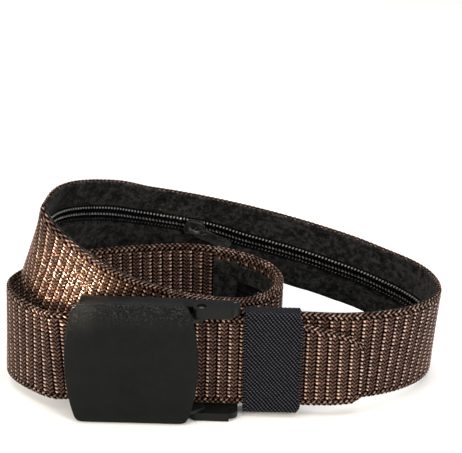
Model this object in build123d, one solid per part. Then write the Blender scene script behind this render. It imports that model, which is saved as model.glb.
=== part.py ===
from build123d import *
import math
import os

# Coiled money belt: a 38 mm nylon strap with a zipped pocket on its inner face,
# a second strap sewn to its far end, a hinged-lid plastic buckle and an elastic
# keeper.  Millimetres, +Z up, -Y the side the buckle lid faces, origin on the
# floor under the middle of the coil.

# ---------------------------------------------------------------- dimensions
STRAP_W = 38.0            # webbing width
WEB_OUT = -1.4            # outer face of the pocket webbing, from the path
WEB_IN = 0.2              # its inner face (1.6 mm webbing)
TAIL_HALF = 0.8           # half thickness of the tail webbing
LINING_N0, LINING_N1 = 0.3, 1.2     # lining cloth, turned edge included
TAPE_N0, TAPE_N1 = 0.3, 0.8         # zip tape
COIL_N0, COIL_N1 = 0.9, 2.1         # nylon coil
ZIP_RIGHT, ZIP_LEFT = 0.6, 2.6   # where the two coils meet across the strap, at
ZIP_A0, ZIP_A1 = 159.0, 229.0    # these distances; the zip climbs between them
ZIP_DOWN, ZIP_UP = 4.8, 4.2      # from there to the edges of the zip opening
COIL_W = 1.8              # width of one coil
GAP = 0.1                 # clear gap between neighbouring layers

A_LINE0 = 3.0             # buckle end patch starts here along the strap
A_LINE1 = 15.2            # and the pocket lining starts here
A_COIL0 = 36.0            # first coil tooth
A_OVER = 366.11           # tail webbing starts, sewn on the outer face
A_END = 463.66           # pocket webbing ends
PATCH = 11.0              # length of the end patch at the far end
COIL_END = 22.0           # coil stops this far before the end
A_SLIDER = 214.93         # where the zip slider stands

# buckle
LID_W, LID_H = 49.8, 50.2             # lid over its bulged sides, and height
LID_X0, LID_X1 = -58.4, -8.6          # left and right of the lid
LID_Y0, LID_Y1 = -50.9, -48.3         # front and back of the lid plate
PIN_X, PIN_Y, PIN_R = -7.9, -44.07, 1.0
PIN_Z = [(0.5, 4.85), (42.45, 47.0)]  # the two stub pins
RAIL_Z = [(0.7, 3.3), (43.7, 45.9)]   # lower and upper rails behind the lid
ARM_Z = [(0.0, 3.3), (44.0, 47.8)]    # front of the lower and upper arms
REAR_Z = [(0.7, 3.3), (43.5, 45.0)]   # lower rear of the same arms
ARM_X0, ARM_X1 = -10.9, 6.4
ARM_STEP = 3.1                        # the arm is thinner beyond this
ARM_Y0, ARM_YM, ARM_Y1 = -46.8, -40.9, -33.9
FLOOR_Y0 = -39.52                     # floor plate, just behind the tail strap
FLOOR_Y1 = -38.32                     # thin part, in front of the strap's end
BODY_X0 = -53.0                       # left end of the buckle body
BODY_Y1 = -36.9                       # back of the floor plate
RAIL_Y0, RAIL_Y1 = -41.3, -35.3       # side rails behind the lid
JAW_X, JAW_Y, JAW_R = 4.5, -35.27, 0.7
CLEAR = 0.05                          # radial clearance on both pins

# keeper
KEEP_X0, KEEP_X1 = 8.1, 30.0
KEEP_T = 1.2
KEEP_Y0, KEEP_Y1 = -43.0, -33.7       # front and back, outside
KEEP_Z0, KEEP_Z1 = 1.2, 44.3          # bottom and top, outside

# Stations along the strap: distance along it, then the point on the middle of
# its width, then the unit direction across it from the lower to the upper edge.
STRAP = [
    (-12.51, -6.420, -36.770, 23.760, 0.00000, 0.00000, 1.00000),
    (-6.26, -0.164, -36.770, 23.760, 0.00000, 0.00000, 1.00000),
    (0.00, 6.092, -36.770, 23.760, 0.00000, 0.00000, 1.00000),
    (8.97, 15.061, -36.770, 23.760, 0.00000, 0.00000, 1.00000),
    (17.94, 24.030, -36.770, 23.760, 0.00000, 0.00000, 1.00000),
    (26.91, 33.000, -36.778, 23.747, 0.00904, -0.00045, 0.99996),
    (34.68, 40.768, -36.617, 23.578, 0.02909, -0.00584, 0.99956),
    (41.38, 47.396, -35.707, 23.429, 0.01720, -0.01774, 0.99969),
    (48.35, 54.205, -34.201, 23.338, 0.02814, -0.02637, 0.99926),
    (54.20, 59.745, -32.348, 23.152, 0.05634, -0.02355, 0.99813),
    (59.68, 64.688, -30.017, 22.862, 0.07994, -0.01801, 0.99664),
    (64.98, 69.151, -27.191, 22.505, 0.09554, -0.00892, 0.99539),
    (70.19, 73.152, -23.877, 22.095, 0.10937, 0.00944, 0.99396),
    (75.32, 76.638, -20.156, 21.601, 0.12323, 0.03759, 0.99167),
    (80.18, 79.457, -16.237, 21.047, 0.12333, 0.06009, 0.99054),
    (84.66, 81.517, -12.291, 20.551, 0.10355, 0.06531, 0.99248),
    (88.92, 82.878, -8.283, 20.183, 0.07232, 0.05477, 0.99588),
    (93.13, 83.602, -4.146, 19.954, 0.04170, 0.03275, 0.99859),
    (97.32, 83.691, 0.041, 19.876, 0.02036, 0.00243, 0.99979),
    (101.46, 83.141, 4.141, 19.931, 0.00845, -0.02533, 0.99964),
    (105.61, 81.943, 8.105, 20.085, 0.00006, -0.04985, 0.99876),
    (109.91, 80.067, 11.966, 20.325, -0.00628, -0.07850, 0.99689),
    (114.51, 77.478, 15.745, 20.665, -0.00901, -0.11268, 0.99359),
    (119.55, 74.105, 19.455, 21.130, -0.00668, -0.15218, 0.98833),
    (125.28, 69.789, 23.169, 21.776, 0.00334, -0.19646, 0.98051),
    (131.46, 64.803, 26.706, 22.665, 0.03150, -0.24789, 0.96828),
    (137.64, 59.521, 29.716, 23.753, 0.05950, -0.27848, 0.95860),
    (143.82, 53.979, 32.210, 24.862, 0.06779, -0.28099, 0.95731),
    (150.00, 48.288, 34.372, 25.911, 0.07477, -0.28181, 0.95655),
    (156.14, 42.541, 36.259, 26.979, 0.09323, -0.28787, 0.95312),
    (162.29, 36.724, 37.881, 28.101, 0.11191, -0.29307, 0.94952),
    (168.43, 30.848, 39.232, 29.275, 0.13078, -0.29742, 0.94575),
    (174.57, 24.926, 40.312, 30.497, 0.14980, -0.30088, 0.94182),
    (180.71, 18.971, 41.118, 31.766, 0.16893, -0.30347, 0.93775),
    (186.86, 12.994, 41.647, 33.079, 0.18812, -0.30517, 0.93353),
    (193.00, 7.008, 41.899, 34.433, 0.20735, -0.30598, 0.92918),
    (199.14, 1.025, 41.874, 35.825, 0.22656, -0.30590, 0.92471),
    (205.29, -4.941, 41.571, 37.252, 0.24572, -0.30493, 0.92013),
    (211.43, -10.880, 40.992, 38.711, 0.26479, -0.30307, 0.91544),
    (217.57, -16.777, 40.136, 40.200, 0.28373, -0.30032, 0.91066),
    (223.71, -22.621, 39.007, 41.715, 0.30250, -0.29669, 0.90580),
    (229.86, -28.401, 37.606, 43.253, 0.32107, -0.29219, 0.90086),
    (236.00, -34.103, 35.936, 44.811, 0.33938, -0.28683, 0.89585),
    (242.27, -39.808, 33.918, 46.452, 0.37699, -0.26451, 0.88764),
    (248.03, -44.793, 31.551, 48.075, 0.42153, -0.20637, 0.88302),
    (253.92, -49.510, 28.452, 49.767, 0.43482, -0.14829, 0.88822),
    (260.20, -54.249, 24.710, 51.462, 0.41992, -0.13354, 0.89769),
    (266.48, -58.804, 20.695, 53.054, 0.42988, -0.11281, 0.89581),
    (272.54, -62.771, 16.350, 54.495, 0.43524, -0.08479, 0.89631),
    (278.19, -66.000, 11.864, 55.690, 0.42674, -0.06002, 0.90238),
    (283.54, -68.539, 7.255, 56.600, 0.40533, -0.04241, 0.91319),
    (288.73, -70.460, 2.473, 57.231, 0.37789, -0.03218, 0.92529),
    (293.84, -71.769, -2.451, 57.577, 0.35033, -0.03386, 0.93602),
    (298.93, -72.487, -7.477, 57.607, 0.32196, -0.05588, 0.94510),
    (303.74, -72.627, -12.273, 57.305, 0.28813, -0.07348, 0.95477),
    (307.69, -72.189, -16.183, 56.956, 0.23492, -0.02878, 0.97159),
    (310.84, -71.279, -19.182, 56.672, 0.18537, -0.06016, 0.98083),
    (313.78, -69.901, -21.682, 56.043, 0.23565, -0.22112, 0.94635),
    (316.71, -68.140, -23.698, 54.856, 0.34357, -0.32800, 0.87998),
    (320.12, -65.842, -25.459, 53.074, 0.43553, -0.35515, 0.82715),
    (324.63, -62.596, -27.150, 50.434, 0.50530, -0.33995, 0.79316),
    (330.50, -58.217, -28.667, 46.845, 0.55098, -0.29443, 0.78086),
    (336.98, -53.163, -29.746, 42.931, 0.55324, -0.22005, 0.80343),
    (343.58, -47.733, -30.322, 39.242, 0.52050, -0.14537, 0.84140),
    (350.54, -41.717, -30.467, 35.747, 0.47086, -0.08201, 0.87839),
    (357.95, -35.069, -30.192, 32.495, 0.40987, -0.03047, 0.91163),
    (366.11, -27.545, -29.451, 29.408, 0.35195, 0.01048, 0.93596),
    (374.86, -19.379, -28.192, 26.564, 0.29930, 0.03948, 0.95334),
    (383.40, -11.360, -26.461, 24.171, 0.25251, 0.05655, 0.96594),
    (391.16, -4.133, -24.356, 22.316, 0.20975, 0.06394, 0.97566),
    (397.90, 2.030, -21.990, 20.970, 0.16732, 0.06340, 0.98386),
    (403.66, 7.111, -19.439, 20.063, 0.12266, 0.05560, 0.99089),
    (408.65, 11.254, -16.711, 19.503, 0.08106, 0.04216, 0.99582),
    (413.04, 14.543, -13.835, 19.194, 0.04704, 0.02511, 0.99858),
    (416.94, 17.027, -10.838, 19.062, 0.02168, 0.00537, 0.99975),
    (420.52, 18.775, -7.713, 19.053, 0.00691, -0.01449, 0.99987),
    (423.92, 19.818, -4.485, 19.123, 0.00324, -0.03010, 0.99954),
    (427.24, 20.160, -1.198, 19.234, 0.00814, -0.03668, 0.99929),
    (430.57, 19.799, 2.111, 19.359, 0.01625, -0.03511, 0.99925),
    (434.04, 18.727, 5.402, 19.485, 0.02228, -0.02694, 0.99939),
    (437.75, 16.920, 8.635, 19.594, 0.02243, -0.01501, 0.99964),
    (441.85, 14.321, 11.796, 19.679, 0.01832, -0.00599, 0.99981),
    (446.46, 10.876, 14.853, 19.744, 0.01376, -0.00119, 0.99990),
    (451.64, 6.566, 17.717, 19.796, 0.01065, 0.00152, 0.99994),
    (457.39, 1.420, 20.278, 19.834, 0.00694, 0.00482, 0.99996),
    (463.66, -4.465, 22.418, 19.845, 0.00129, 0.00798, 0.99997),
]

# The tail strap: sewn on outside the pocket strap, round the left end of the
# coil, through the buckle, over the front of the pocket strap to its tip.
TAIL = [
    (366.11, -27.268, -31.884, 29.331, 0.35195, 0.01048, 0.93596),
    (374.86, -18.948, -30.604, 26.528, 0.29930, 0.03948, 0.95334),
    (383.40, -10.766, -28.837, 24.155, 0.25251, 0.05655, 0.96594),
    (391.16, -3.357, -26.680, 22.301, 0.20975, 0.06394, 0.97566),
    (397.90, 3.012, -24.234, 20.947, 0.16732, 0.06340, 0.98386),
    (403.66, 8.329, -21.565, 20.031, 0.12266, 0.05560, 0.99089),
    (408.65, 12.731, -18.666, 19.465, 0.08106, 0.04216, 0.99582),
    (413.04, 16.291, -15.550, 19.154, 0.04704, 0.02511, 0.99858),
    (416.94, 19.045, -12.227, 19.026, 0.02168, 0.00537, 0.99975),
    (420.52, 21.019, -8.695, 19.023, 0.00691, -0.01449, 0.99987),
    (423.92, 22.215, -4.994, 19.099, 0.00324, -0.03010, 0.99954),
    (427.24, 22.610, -1.191, 19.214, 0.00814, -0.03668, 0.99929),
    (430.57, 22.194, 2.629, 19.339, 0.01625, -0.03511, 0.99925),
    (434.04, 20.970, 6.387, 19.461, 0.02228, -0.02694, 0.99939),
    (437.75, 18.940, 10.021, 19.570, 0.02243, -0.01501, 0.99964),
    (441.85, 16.082, 13.499, 19.657, 0.01832, -0.00599, 0.99981),
    (446.46, 12.368, 16.796, 19.726, 0.01376, -0.00119, 0.99990),
    (451.64, 7.790, 19.839, 19.779, 0.01065, 0.00152, 0.99994),
    (457.39, 2.384, 22.530, 19.816, 0.00694, 0.00482, 0.99996),
    (463.66, -3.751, 24.762, 19.825, 0.00129, 0.00798, 0.99997),
    (470.63, -10.779, 26.429, 19.795, -0.00583, 0.00919, 0.99994),
    (478.04, -18.407, 26.922, 19.729, -0.01101, 0.00789, 0.99991),
    (485.77, -26.290, 26.249, 19.637, -0.01387, 0.00568, 0.99989),
    (493.66, -34.170, 25.122, 19.527, -0.01530, 0.00364, 0.99988),
    (501.23, -41.652, 23.934, 19.414, -0.01578, 0.00171, 0.99987),
    (508.64, -48.854, 22.206, 19.302, -0.01523, -0.00044, 0.99988),
    (515.79, -55.618, 19.895, 19.201, -0.01314, -0.00289, 0.99991),
    (522.57, -61.786, 17.088, 19.119, -0.00920, -0.00564, 0.99994),
    (528.95, -67.280, 13.861, 19.069, -0.00039, -0.00615, 0.99998),
    (534.88, -72.034, 10.320, 19.085, 0.01385, -0.00007, 0.99990),
    (540.33, -75.990, 6.580, 19.198, 0.03055, 0.01572, 0.99941),
    (545.32, -79.151, 2.721, 19.417, 0.04266, 0.03760, 0.99838),
    (549.93, -81.536, -1.197, 19.722, 0.04834, 0.06194, 0.99691),
    (554.22, -83.178, -5.145, 20.096, 0.04707, 0.08646, 0.99514),
    (558.34, -84.109, -9.133, 20.526, 0.04081, 0.10618, 0.99351),
    (562.39, -84.350, -13.143, 20.993, 0.02951, 0.11884, 0.99247),
    (566.44, -83.902, -17.136, 21.473, 0.01497, 0.12282, 0.99232),
    (570.59, -82.755, -21.087, 21.940, 0.00160, 0.11326, 0.99356),
    (574.90, -80.916, -24.962, 22.341, -0.00386, 0.08782, 0.99613),
    (579.39, -78.420, -28.673, 22.604, 0.00287, 0.04993, 0.99875),
    (584.03, -75.321, -32.122, 22.676, 0.01757, 0.01252, 0.99977),
    (589.03, -71.474, -35.311, 22.588, 0.02734, -0.00838, 0.99959),
    (593.69, -67.655, -37.975, 22.521, -0.00611, 0.00744, 0.99995),
    (597.35, -64.429, -39.694, 22.653, -0.05820, 0.02245, 0.99805),
    (600.87, -61.010, -40.421, 22.907, -0.06768, 0.00504, 0.99769),
    (605.41, -56.477, -40.470, 23.060, -0.00189, -0.00000, 1.00000),
    (613.81, -48.078, -40.470, 23.060, 0.00000, 0.00000, 1.00000),
    (621.81, -40.078, -40.470, 23.060, 0.00000, 0.00000, 1.00000),
    (629.81, -32.078, -40.470, 23.060, 0.00000, 0.00000, 1.00000),
    (637.81, -24.078, -40.470, 23.060, 0.00000, 0.00000, 1.00000),
    (645.81, -16.078, -40.470, 23.060, 0.00000, 0.00000, 1.00000),
    (653.81, -8.078, -40.470, 23.060, 0.00000, 0.00000, 1.00000),
    (661.81, -0.078, -40.470, 23.060, 0.00000, 0.00000, 1.00000),
    (669.81, 7.922, -40.470, 23.060, 0.00000, 0.00000, 1.00000),
    (677.81, 15.922, -40.470, 23.060, 0.00000, 0.00000, 1.00000),
    (685.81, 23.922, -40.470, 23.060, 0.00000, 0.00000, 1.00000),
    (687.97, 26.080, -40.470, 23.060, 0.00000, 0.00000, 1.00000),
    (693.97, 32.080, -40.470, 23.060, 0.00000, 0.00000, 1.00000),
    (698.97, 37.080, -40.393, 23.060, 0.00000, 0.00000, 1.00000),
    (703.97, 42.080, -40.136, 23.060, 0.00000, 0.00000, 1.00000),
    (707.97, 46.080, -39.587, 23.060, 0.00000, 0.00000, 1.00000),
    (711.97, 50.080, -38.813, 23.060, 0.00000, 0.00000, 1.00000),
    (715.47, 53.580, -38.039, 23.060, 0.00000, 0.00000, 1.00000),
]


# ------------------------------------------------------------------ helpers
def cross(a, b):
    return (a[1]*b[2] - a[2]*b[1], a[2]*b[0] - a[0]*b[2], a[0]*b[1] - a[1]*b[0])


def unit(a):
    n = math.sqrt(a[0]**2 + a[1]**2 + a[2]**2)
    return (a[0]/n, a[1]/n, a[2]/n)


def frames(rows):
    """Point, width direction and inward normal at every station."""
    out = []
    for i, r in enumerate(rows):
        p0 = rows[max(i - 1, 0)]
        p1 = rows[min(i + 1, len(rows) - 1)]
        t = unit((p1[1] - p0[1], p1[2] - p0[2], p1[3] - p0[3]))
        w = (r[4], r[5], r[6])
        n = unit(cross(w, t))
        out.append((r[0], (r[1], r[2], r[3]), w, n, t))
    return out


STRAP_F = frames(STRAP)
TAIL_F = frames(TAIL)


def at(fr, a):
    """The frame at distance a, on the straight chord between two stations."""
    for f0, f1 in zip(fr, fr[1:]):
        if f0[0] - 1e-9 <= a <= f1[0] + 1e-9:
            k = (a - f0[0])/(f1[0] - f0[0])
            mix = [tuple(u + (v - u)*k for u, v in zip(f0[j], f1[j])) for j in (1, 2, 3)]
            return (a, mix[0], mix[1], mix[2], f0[4])
    raise ValueError(a)


def cut(fr, a0, a1):
    inner = [f for f in fr if a0 + 0.4 < f[0] < a1 - 0.4]
    return [at(fr, a0)] + inner + [at(fr, a1)]


def spot(f, w, n):
    return Vector(*[f[1][i] + w*f[2][i] + n*f[3][i] for i in range(3)])


def facet(pts):
    return Face(Wire.make_polygon(pts, close=True))


def ribbon(fr, outer, inner, n0, n1):
    """A closed flat-faced strip.  outer and inner are functions of the station
    giving the levels across the strap at which each face is creased."""
    rings = []
    for f in fr:
        wo, wi = outer(f[0]), inner(f[0])
        rings.append([spot(f, w, n0) for w in wo] + [spot(f, w, n1) for w in reversed(wi)])
    faces = []
    m = len(rings[0])
    no = len(outer(fr[0][0]))
    for r0, r1 in zip(rings, rings[1:]):
        for j in range(m):
            k = (j + 1) % m
            a, b, c, d = r0[j], r0[k], r1[k], r1[j]
            if j < no - 1 or j == m - 1:
                tri = ((a, b, c), (a, c, d))
            else:
                tri = ((b, c, d), (b, d, a))
            for t in tri:
                faces.append(facet(t))
    faces.append(facet(rings[0]))
    faces.append(facet(list(reversed(rings[-1]))))
    return Solid(Shell(faces))


def band(fr, w0, w1, n0, n1):
    return ribbon(fr, lambda a: (w0, w1), lambda a: (w0, w1), n0, n1)


def block(x0, x1, y0, y1, z0, z1):
    return Pos((x0 + x1)/2, (y0 + y1)/2, (z0 + z1)/2)*Box(x1 - x0, y1 - y0, z1 - z0)


def upright(x, y, r, z0, z1):
    return Pos(x, y, (z0 + z1)/2)*Cylinder(r, z1 - z0)


H = STRAP_W/2
parts = {}


def mid(a):
    """Where the two coils meet, across the strap."""
    k = min(1.0, max(0.0, (a - ZIP_A0)/(ZIP_A1 - ZIP_A0)))
    return ZIP_RIGHT + (ZIP_LEFT - ZIP_RIGHT)*k


def along_zip(fr, lo, hi, n0, n1):
    """A strip held between two distances from the middle of the zip."""
    return ribbon(fr, lambda a: (mid(a) + lo, mid(a) + hi),
                  lambda a: (mid(a) + lo, mid(a) + hi), n0, n1)


# ------------------------------------------------------------- pocket strap
parts["pocket_webbing"] = ribbon(
    cut(STRAP_F, STRAP[0][0], A_END),
    lambda a: (-H, H), lambda a: (-H, mid(a) - ZIP_DOWN, mid(a), mid(a) + ZIP_UP, H), WEB_OUT, WEB_IN)

line = cut(STRAP_F, A_LINE1, A_END - PATCH - 0.2)
over = lambda a: (mid(a) + ZIP_UP + GAP, H - 0.2)
under = lambda a: (-H + 0.2, mid(a) - ZIP_DOWN - GAP)
parts["lining_upper"] = ribbon(line, over, over, LINING_N0, LINING_N1)
parts["lining_lower"] = ribbon(line, under, under, LINING_N0, LINING_N1)
parts["zip_tape_upper"] = along_zip(line, GAP, ZIP_UP - GAP, TAPE_N0, TAPE_N1)
parts["zip_tape_lower"] = along_zip(line, -ZIP_DOWN + GAP, -GAP, TAPE_N0, TAPE_N1)

coil = cut(STRAP_F, A_COIL0, A_END - COIL_END)
parts["zip_coil_upper"] = along_zip(coil, 0.1, 0.1 + COIL_W, COIL_N0, COIL_N1)
parts["zip_coil_lower"] = along_zip(coil, -0.1 - COIL_W, -0.1, COIL_N0, COIL_N1)

# the two end stops of the zip
stop_a = along_zip(cut(STRAP_F, A_COIL0 - 1.6, A_COIL0 - 0.3), -2.1, 2.1, COIL_N0, COIL_N1)
stop_b = along_zip(cut(STRAP_F, A_END - COIL_END + 0.3, A_END - COIL_END + 1.6), -2.1, 2.1, COIL_N0, COIL_N1)
parts["zip_stops"] = Compound([stop_a, stop_b])

# turned-over lining patches that close the pocket at each end
parts["lining_patch_buckle_end"] = band(cut(STRAP_F, A_LINE0, A_LINE1 - 0.2), -H + 0.2, H - 0.2, LINING_N0, LINING_N1)
parts["lining_patch_far_end"] = band(cut(STRAP_F, A_END - PATCH, A_END - 0.1), -H + 0.2, H - 0.2, LINING_N0, LINING_N1)

# --------------------------------------------------------------- tail strap
TIP = TAIL[-1][0]
TIP_TOP = [(-52.0, 19.0), (-40.0, 18.7), (-30.0, 17.7), (-21.5, 15.8), (-16.5, 14.7),
           (-11.5, 13.4), (-7.5, 12.0), (-3.5, 9.9), (0.0, 6.4)]   # to the tip, height of the top edge
TIP_LOW = [(-52.0, -19.0), (-7.5, -19.0), (-3.5, -18.8), (0.0, -16.4)]


def table(rows, x):
    if x <= rows[0][0]:
        return rows[0][1]
    for (x0, y0), (x1, y1) in zip(rows, rows[1:]):
        if x <= x1:
            return y0 + (y1 - y0)*(x - x0)/(x1 - x0)
    return rows[-1][1]


def tail_levels(a):
    return (table(TIP_LOW, a - TIP), table(TIP_TOP, a - TIP))


parts["tail_webbing"] = ribbon(TAIL_F, tail_levels, tail_levels, -TAIL_HALF, TAIL_HALF)

# rows of thread: through both webbings where the tail strap starts, and
# through the end patch where the pocket strap ends
rows = []
for a0, a1 in ((A_OVER + 2.0, A_OVER + 10.0),):
    for w in (-15.0, -9.0, -3.0, 3.0, 9.0, 15.0):
        rows.append(band(cut(TAIL_F, a0, a1), w - 0.3, w + 0.3, -TAIL_HALF - 0.45, -TAIL_HALF - 0.08))
for w in (-15.0, -10.0, -5.0, 0.0, 5.0, 10.0, 15.0):
    rows.append(band(cut(STRAP_F, A_END - PATCH + 1.0, A_END - 1.2), w - 0.3, w + 0.3, LINING_N1 + 0.06, LINING_N1 + 0.4))
parts["overlap_stitching"] = Compound(rows)

# ------------------------------------------------------------------- buckle
body = block(BODY_X0, ARM_X0, FLOOR_Y0, BODY_Y1, 0.7, RAIL_Z[1][1])
body += block(ARM_X0, ARM_X1 - 0.9, FLOOR_Y0, FLOOR_Y1, 0.7, REAR_Z[1][1])
for (r0, r1), (z0, z1), (q0, q1) in zip(RAIL_Z, ARM_Z, REAR_Z):
    rail = block(BODY_X0, ARM_X0 + 0.5, RAIL_Y0, RAIL_Y1, r0, r1)
    arm = block(ARM_X0, ARM_STEP, ARM_Y0, ARM_YM, z0, z1)
    arm = fillet(arm.edges().filter_by(Axis.Z).group_by(Axis.X)[0].sort_by(Axis.Y)[0:1], 1.6)
    end = block(ARM_STEP - 0.5, ARM_X1, ARM_Y0 + 1.3, ARM_YM, z0 + 0.4, z1 - 0.5)
    end = fillet(end.edges().filter_by(Axis.Z).group_by(Axis.X)[-1].sort_by(Axis.Y)[0:1], 2.9)
    rear = block(ARM_X0, ARM_X1, ARM_YM - 1.0, ARM_Y1, q0, q1)
    rear = fillet(rear.edges().filter_by(Axis.Z).group_by(Axis.X)[-1], 2.4)
    body += rail
    body += rear
    body += arm
    body += end
# two windows and stiffening ribs on the back of the floor plate
for z0, z1 in ((8.0, 20.5), (26.9, 39.4)):
    body -= block(-44.0, -22.0, FLOOR_Y0 - 1, BODY_Y1 + 1, z0, z1)
for x in (-50.0, -18.0):
    body += block(x - 0.8, x + 0.8, BODY_Y1 - 0.1, RAIL_Y1, 2.6, 44.4)
# pin holes, with a wide shallow mouth on the upper arm
body -= upright(PIN_X, PIN_Y, PIN_R + 0.02, PIN_Z[0][0], 50)
body -= upright(PIN_X, PIN_Y, 1.8, PIN_Z[1][1] - 0.1, 50)
body -= upright(JAW_X, JAW_Y, JAW_R + 0.02, -1, 50)
parts["buckle_base"] = body.solids()[0] if len(body.solids()) == 1 else body

parts["lid_pin"] = Compound([upright(PIN_X, PIN_Y, PIN_R, z0 + 0.02, z1 - 0.1) for z0, z1 in PIN_Z])
parts["jaw_pin"] = upright(JAW_X, JAW_Y, JAW_R, 0.9, REAR_Z[1][1] - 0.1)

# lid: bulged plate, side walls, two ears on the pins and the toothed cam
LID_C0, LID_C1 = LID_X0 + 3.8, LID_X1 - 4.2     # its corners, left and right
with BuildSketch(Plane.XZ.offset(-LID_Y1)) as outline:
    with BuildLine():
        Line((LID_C0, 0.0), (LID_C1, 0.0))
        ThreePointArc((LID_C1, 0.0), (LID_X1, LID_H/2), (LID_C1, LID_H))
        Line((LID_C1, LID_H), (LID_C0, LID_H))
        ThreePointArc((LID_C0, LID_H), (LID_X0, LID_H/2), (LID_C0, 0.0))
    make_face()
    fillet(outline.vertices(), 2.6)
lid = extrude(outline.sketch, amount=LID_Y1 - LID_Y0)
lid = lid.solids()[0]
lid = fillet(lid.faces().sort_by(Axis.Y)[0].edges(), 0.9)
for z0, z1 in ((0.35, 2.3), (LID_H - 2.3, LID_H - 0.35)):
    lid += block(-52.4, -14.0, LID_Y1 - 0.3, RAIL_Y0 - 0.35, z0, z1)
lid += block(-56.0, -54.5, LID_Y1 - 0.3, LID_Y1 + 2.4, 6.0, LID_H - 6.0)
for z0, z1 in ((3.5, 4.9), (42.4, 43.8)):
    ear = Plane.XY.offset(z0)*Polygon((-14.5, LID_Y1 - 0.3), (-11.4, LID_Y1 - 0.3), (PIN_X + 1.5, PIN_Y - 1.25),
                                      (PIN_X, PIN_Y + 1.95), (-14.5, PIN_Y + 0.6), align=None)
    lid += extrude(ear, amount=z1 - z0, dir=(0, 0, 1))
    lid += upright(PIN_X, PIN_Y, 1.95, z0, z1)
knuckle = block(-17.0, -11.6, LID_Y1 - 0.3, -41.9, 5.6, 41.8)
for x in (-16.4, -14.6, -12.8):
    tooth = extrude(Plane.XY.offset(6.0)*Polygon((x - 0.7, -42.2), (x + 0.7, -42.2), (x + 0.25, -41.42), align=None), amount=35.4, dir=(0, 0, 1))
    knuckle += tooth
for x in (-46.0, -37.0, -28.0):
    knuckle += block(x - 0.5, x + 0.5, LID_Y1 - 0.3, LID_Y1 + 1.0, 2.0, LID_H - 2.0)
knuckle += block(-17.0, -14.5, LID_Y1 - 0.3, PIN_Y + 0.6, 3.5, 43.8)
lid += knuckle
lid -= upright(PIN_X, PIN_Y, PIN_R + CLEAR, 0, 48)
parts["buckle_lid"] = lid.solids()[0] if len(lid.solids()) == 1 else lid

# clamp jaw behind the end of the pocket strap
jaw = block(-7.0, JAW_X - 0.2, -35.75, -34.45, 4.2, 43.2)
jaw += upright(JAW_X, JAW_Y, 1.15, 4.2, 43.2)
for x in (-6.2, -4.4, -2.6, -0.8):
    jaw += extrude(Plane.XY.offset(4.2)*Polygon((x - 0.6, -35.6), (x + 0.6, -35.6), (x, -36.4), align=None), amount=39.0, dir=(0, 0, 1))
jaw -= upright(JAW_X, JAW_Y, JAW_R + CLEAR, 0, 48)
parts["clamp_jaw"] = jaw.solids()[0] if len(jaw.solids()) == 1 else jaw

# ------------------------------------------------------------------- keeper
ring = block(KEEP_X0, KEEP_X1, KEEP_Y0, KEEP_Y1, KEEP_Z0, KEEP_Z1)
ring = fillet(ring.edges().filter_by(Axis.X), 1.9)
hole = block(KEEP_X0 - 1, KEEP_X1 + 1, KEEP_Y0 + KEEP_T, KEEP_Y1 - KEEP_T, KEEP_Z0 + KEEP_T, KEEP_Z1 - KEEP_T)
hole = fillet(hole.edges().filter_by(Axis.X), 0.7)
parts["keeper_band"] = (ring - hole).solids()[0]
# flat seam that joins the elastic's two ends, on the back of the loop
parts["keeper_seam"] = block(KEEP_X0 + 0.4, KEEP_X1 - 0.4, KEEP_Y1 + 0.06, KEEP_Y1 + 0.8, 17.5, 29.5)

# --------------------------------------------------------------- zip slider
sf = at(STRAP_F, A_SLIDER)
# build the slider flat: x across the strap, y along it, z off its inner face
plane = Plane(origin=(sf[1][0], sf[1][1], sf[1][2]), x_dir=sf[2], z_dir=unit(sf[3]))
SL = 4.4                      # half length of the slider
ZM = mid(A_SLIDER)
top = Pos(ZM, 0, 2.75)*Box(7.2, 2*SL, 0.9)
top = fillet(top.edges().filter_by(Axis.Z), 1.6)
slide = top
for sx in (-1, 1):
    slide += Pos(ZM + sx*3.0, 0, 1.85)*Box(1.2, 2*SL - 2.0, 1.1)
    slide = slide
bridge = Pos(ZM, 0, 4.35)*Box(1.5, 4.6, 2.5)
bridge -= Pos(ZM, 0, 3.85)*Box(3, 3.0, 1.3)
slide += bridge
parts["zip_slider"] = plane.location*slide.solids()[0]

# pull tab: bar through the bridge, two legs and a flat tab, hanging askew
PULL_DEG = -18.0
bar = Rot(0, 90, 0)*Cylinder(0.42, 5.0)
legs = Pos(2.1, 1.6, 0)*Box(0.8, 4.0, 0.84) + Pos(-2.1, 1.6, 0)*Box(0.8, 4.0, 0.84)
tab = Pos(0, 10.6, 0)*Box(5.0, 14.4, 0.84)
tab = fillet(tab.edges().filter_by(Axis.Z), 1.4)
pull = bar + legs + tab
pull = Pos(ZM, 0, 3.9)*Rot(0, 0, PULL_DEG)*Rot(0, 0, 180)*pull
parts["zip_pull"] = plane.location*pull.solids()[0]

os.makedirs("parts", exist_ok=True)
for name, shape in parts.items():
    export_step(shape, "parts/" + name + ".step")
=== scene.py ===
import bpy
import bmesh
import math
import numpy as np
from mathutils import Matrix, Vector


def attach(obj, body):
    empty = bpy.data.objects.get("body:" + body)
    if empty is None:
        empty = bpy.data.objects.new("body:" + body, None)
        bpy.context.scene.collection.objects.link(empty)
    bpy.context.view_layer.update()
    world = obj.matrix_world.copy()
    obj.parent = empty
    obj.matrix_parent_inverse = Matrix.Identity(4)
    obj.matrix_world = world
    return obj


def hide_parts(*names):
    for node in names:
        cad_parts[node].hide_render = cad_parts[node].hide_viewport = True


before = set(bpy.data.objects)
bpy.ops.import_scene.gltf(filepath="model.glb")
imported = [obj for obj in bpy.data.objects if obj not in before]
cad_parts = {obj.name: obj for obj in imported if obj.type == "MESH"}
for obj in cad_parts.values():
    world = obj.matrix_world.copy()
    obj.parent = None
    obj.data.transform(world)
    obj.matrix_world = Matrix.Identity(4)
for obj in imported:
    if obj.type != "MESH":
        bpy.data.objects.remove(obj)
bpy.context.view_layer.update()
MM = 0.001

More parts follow.
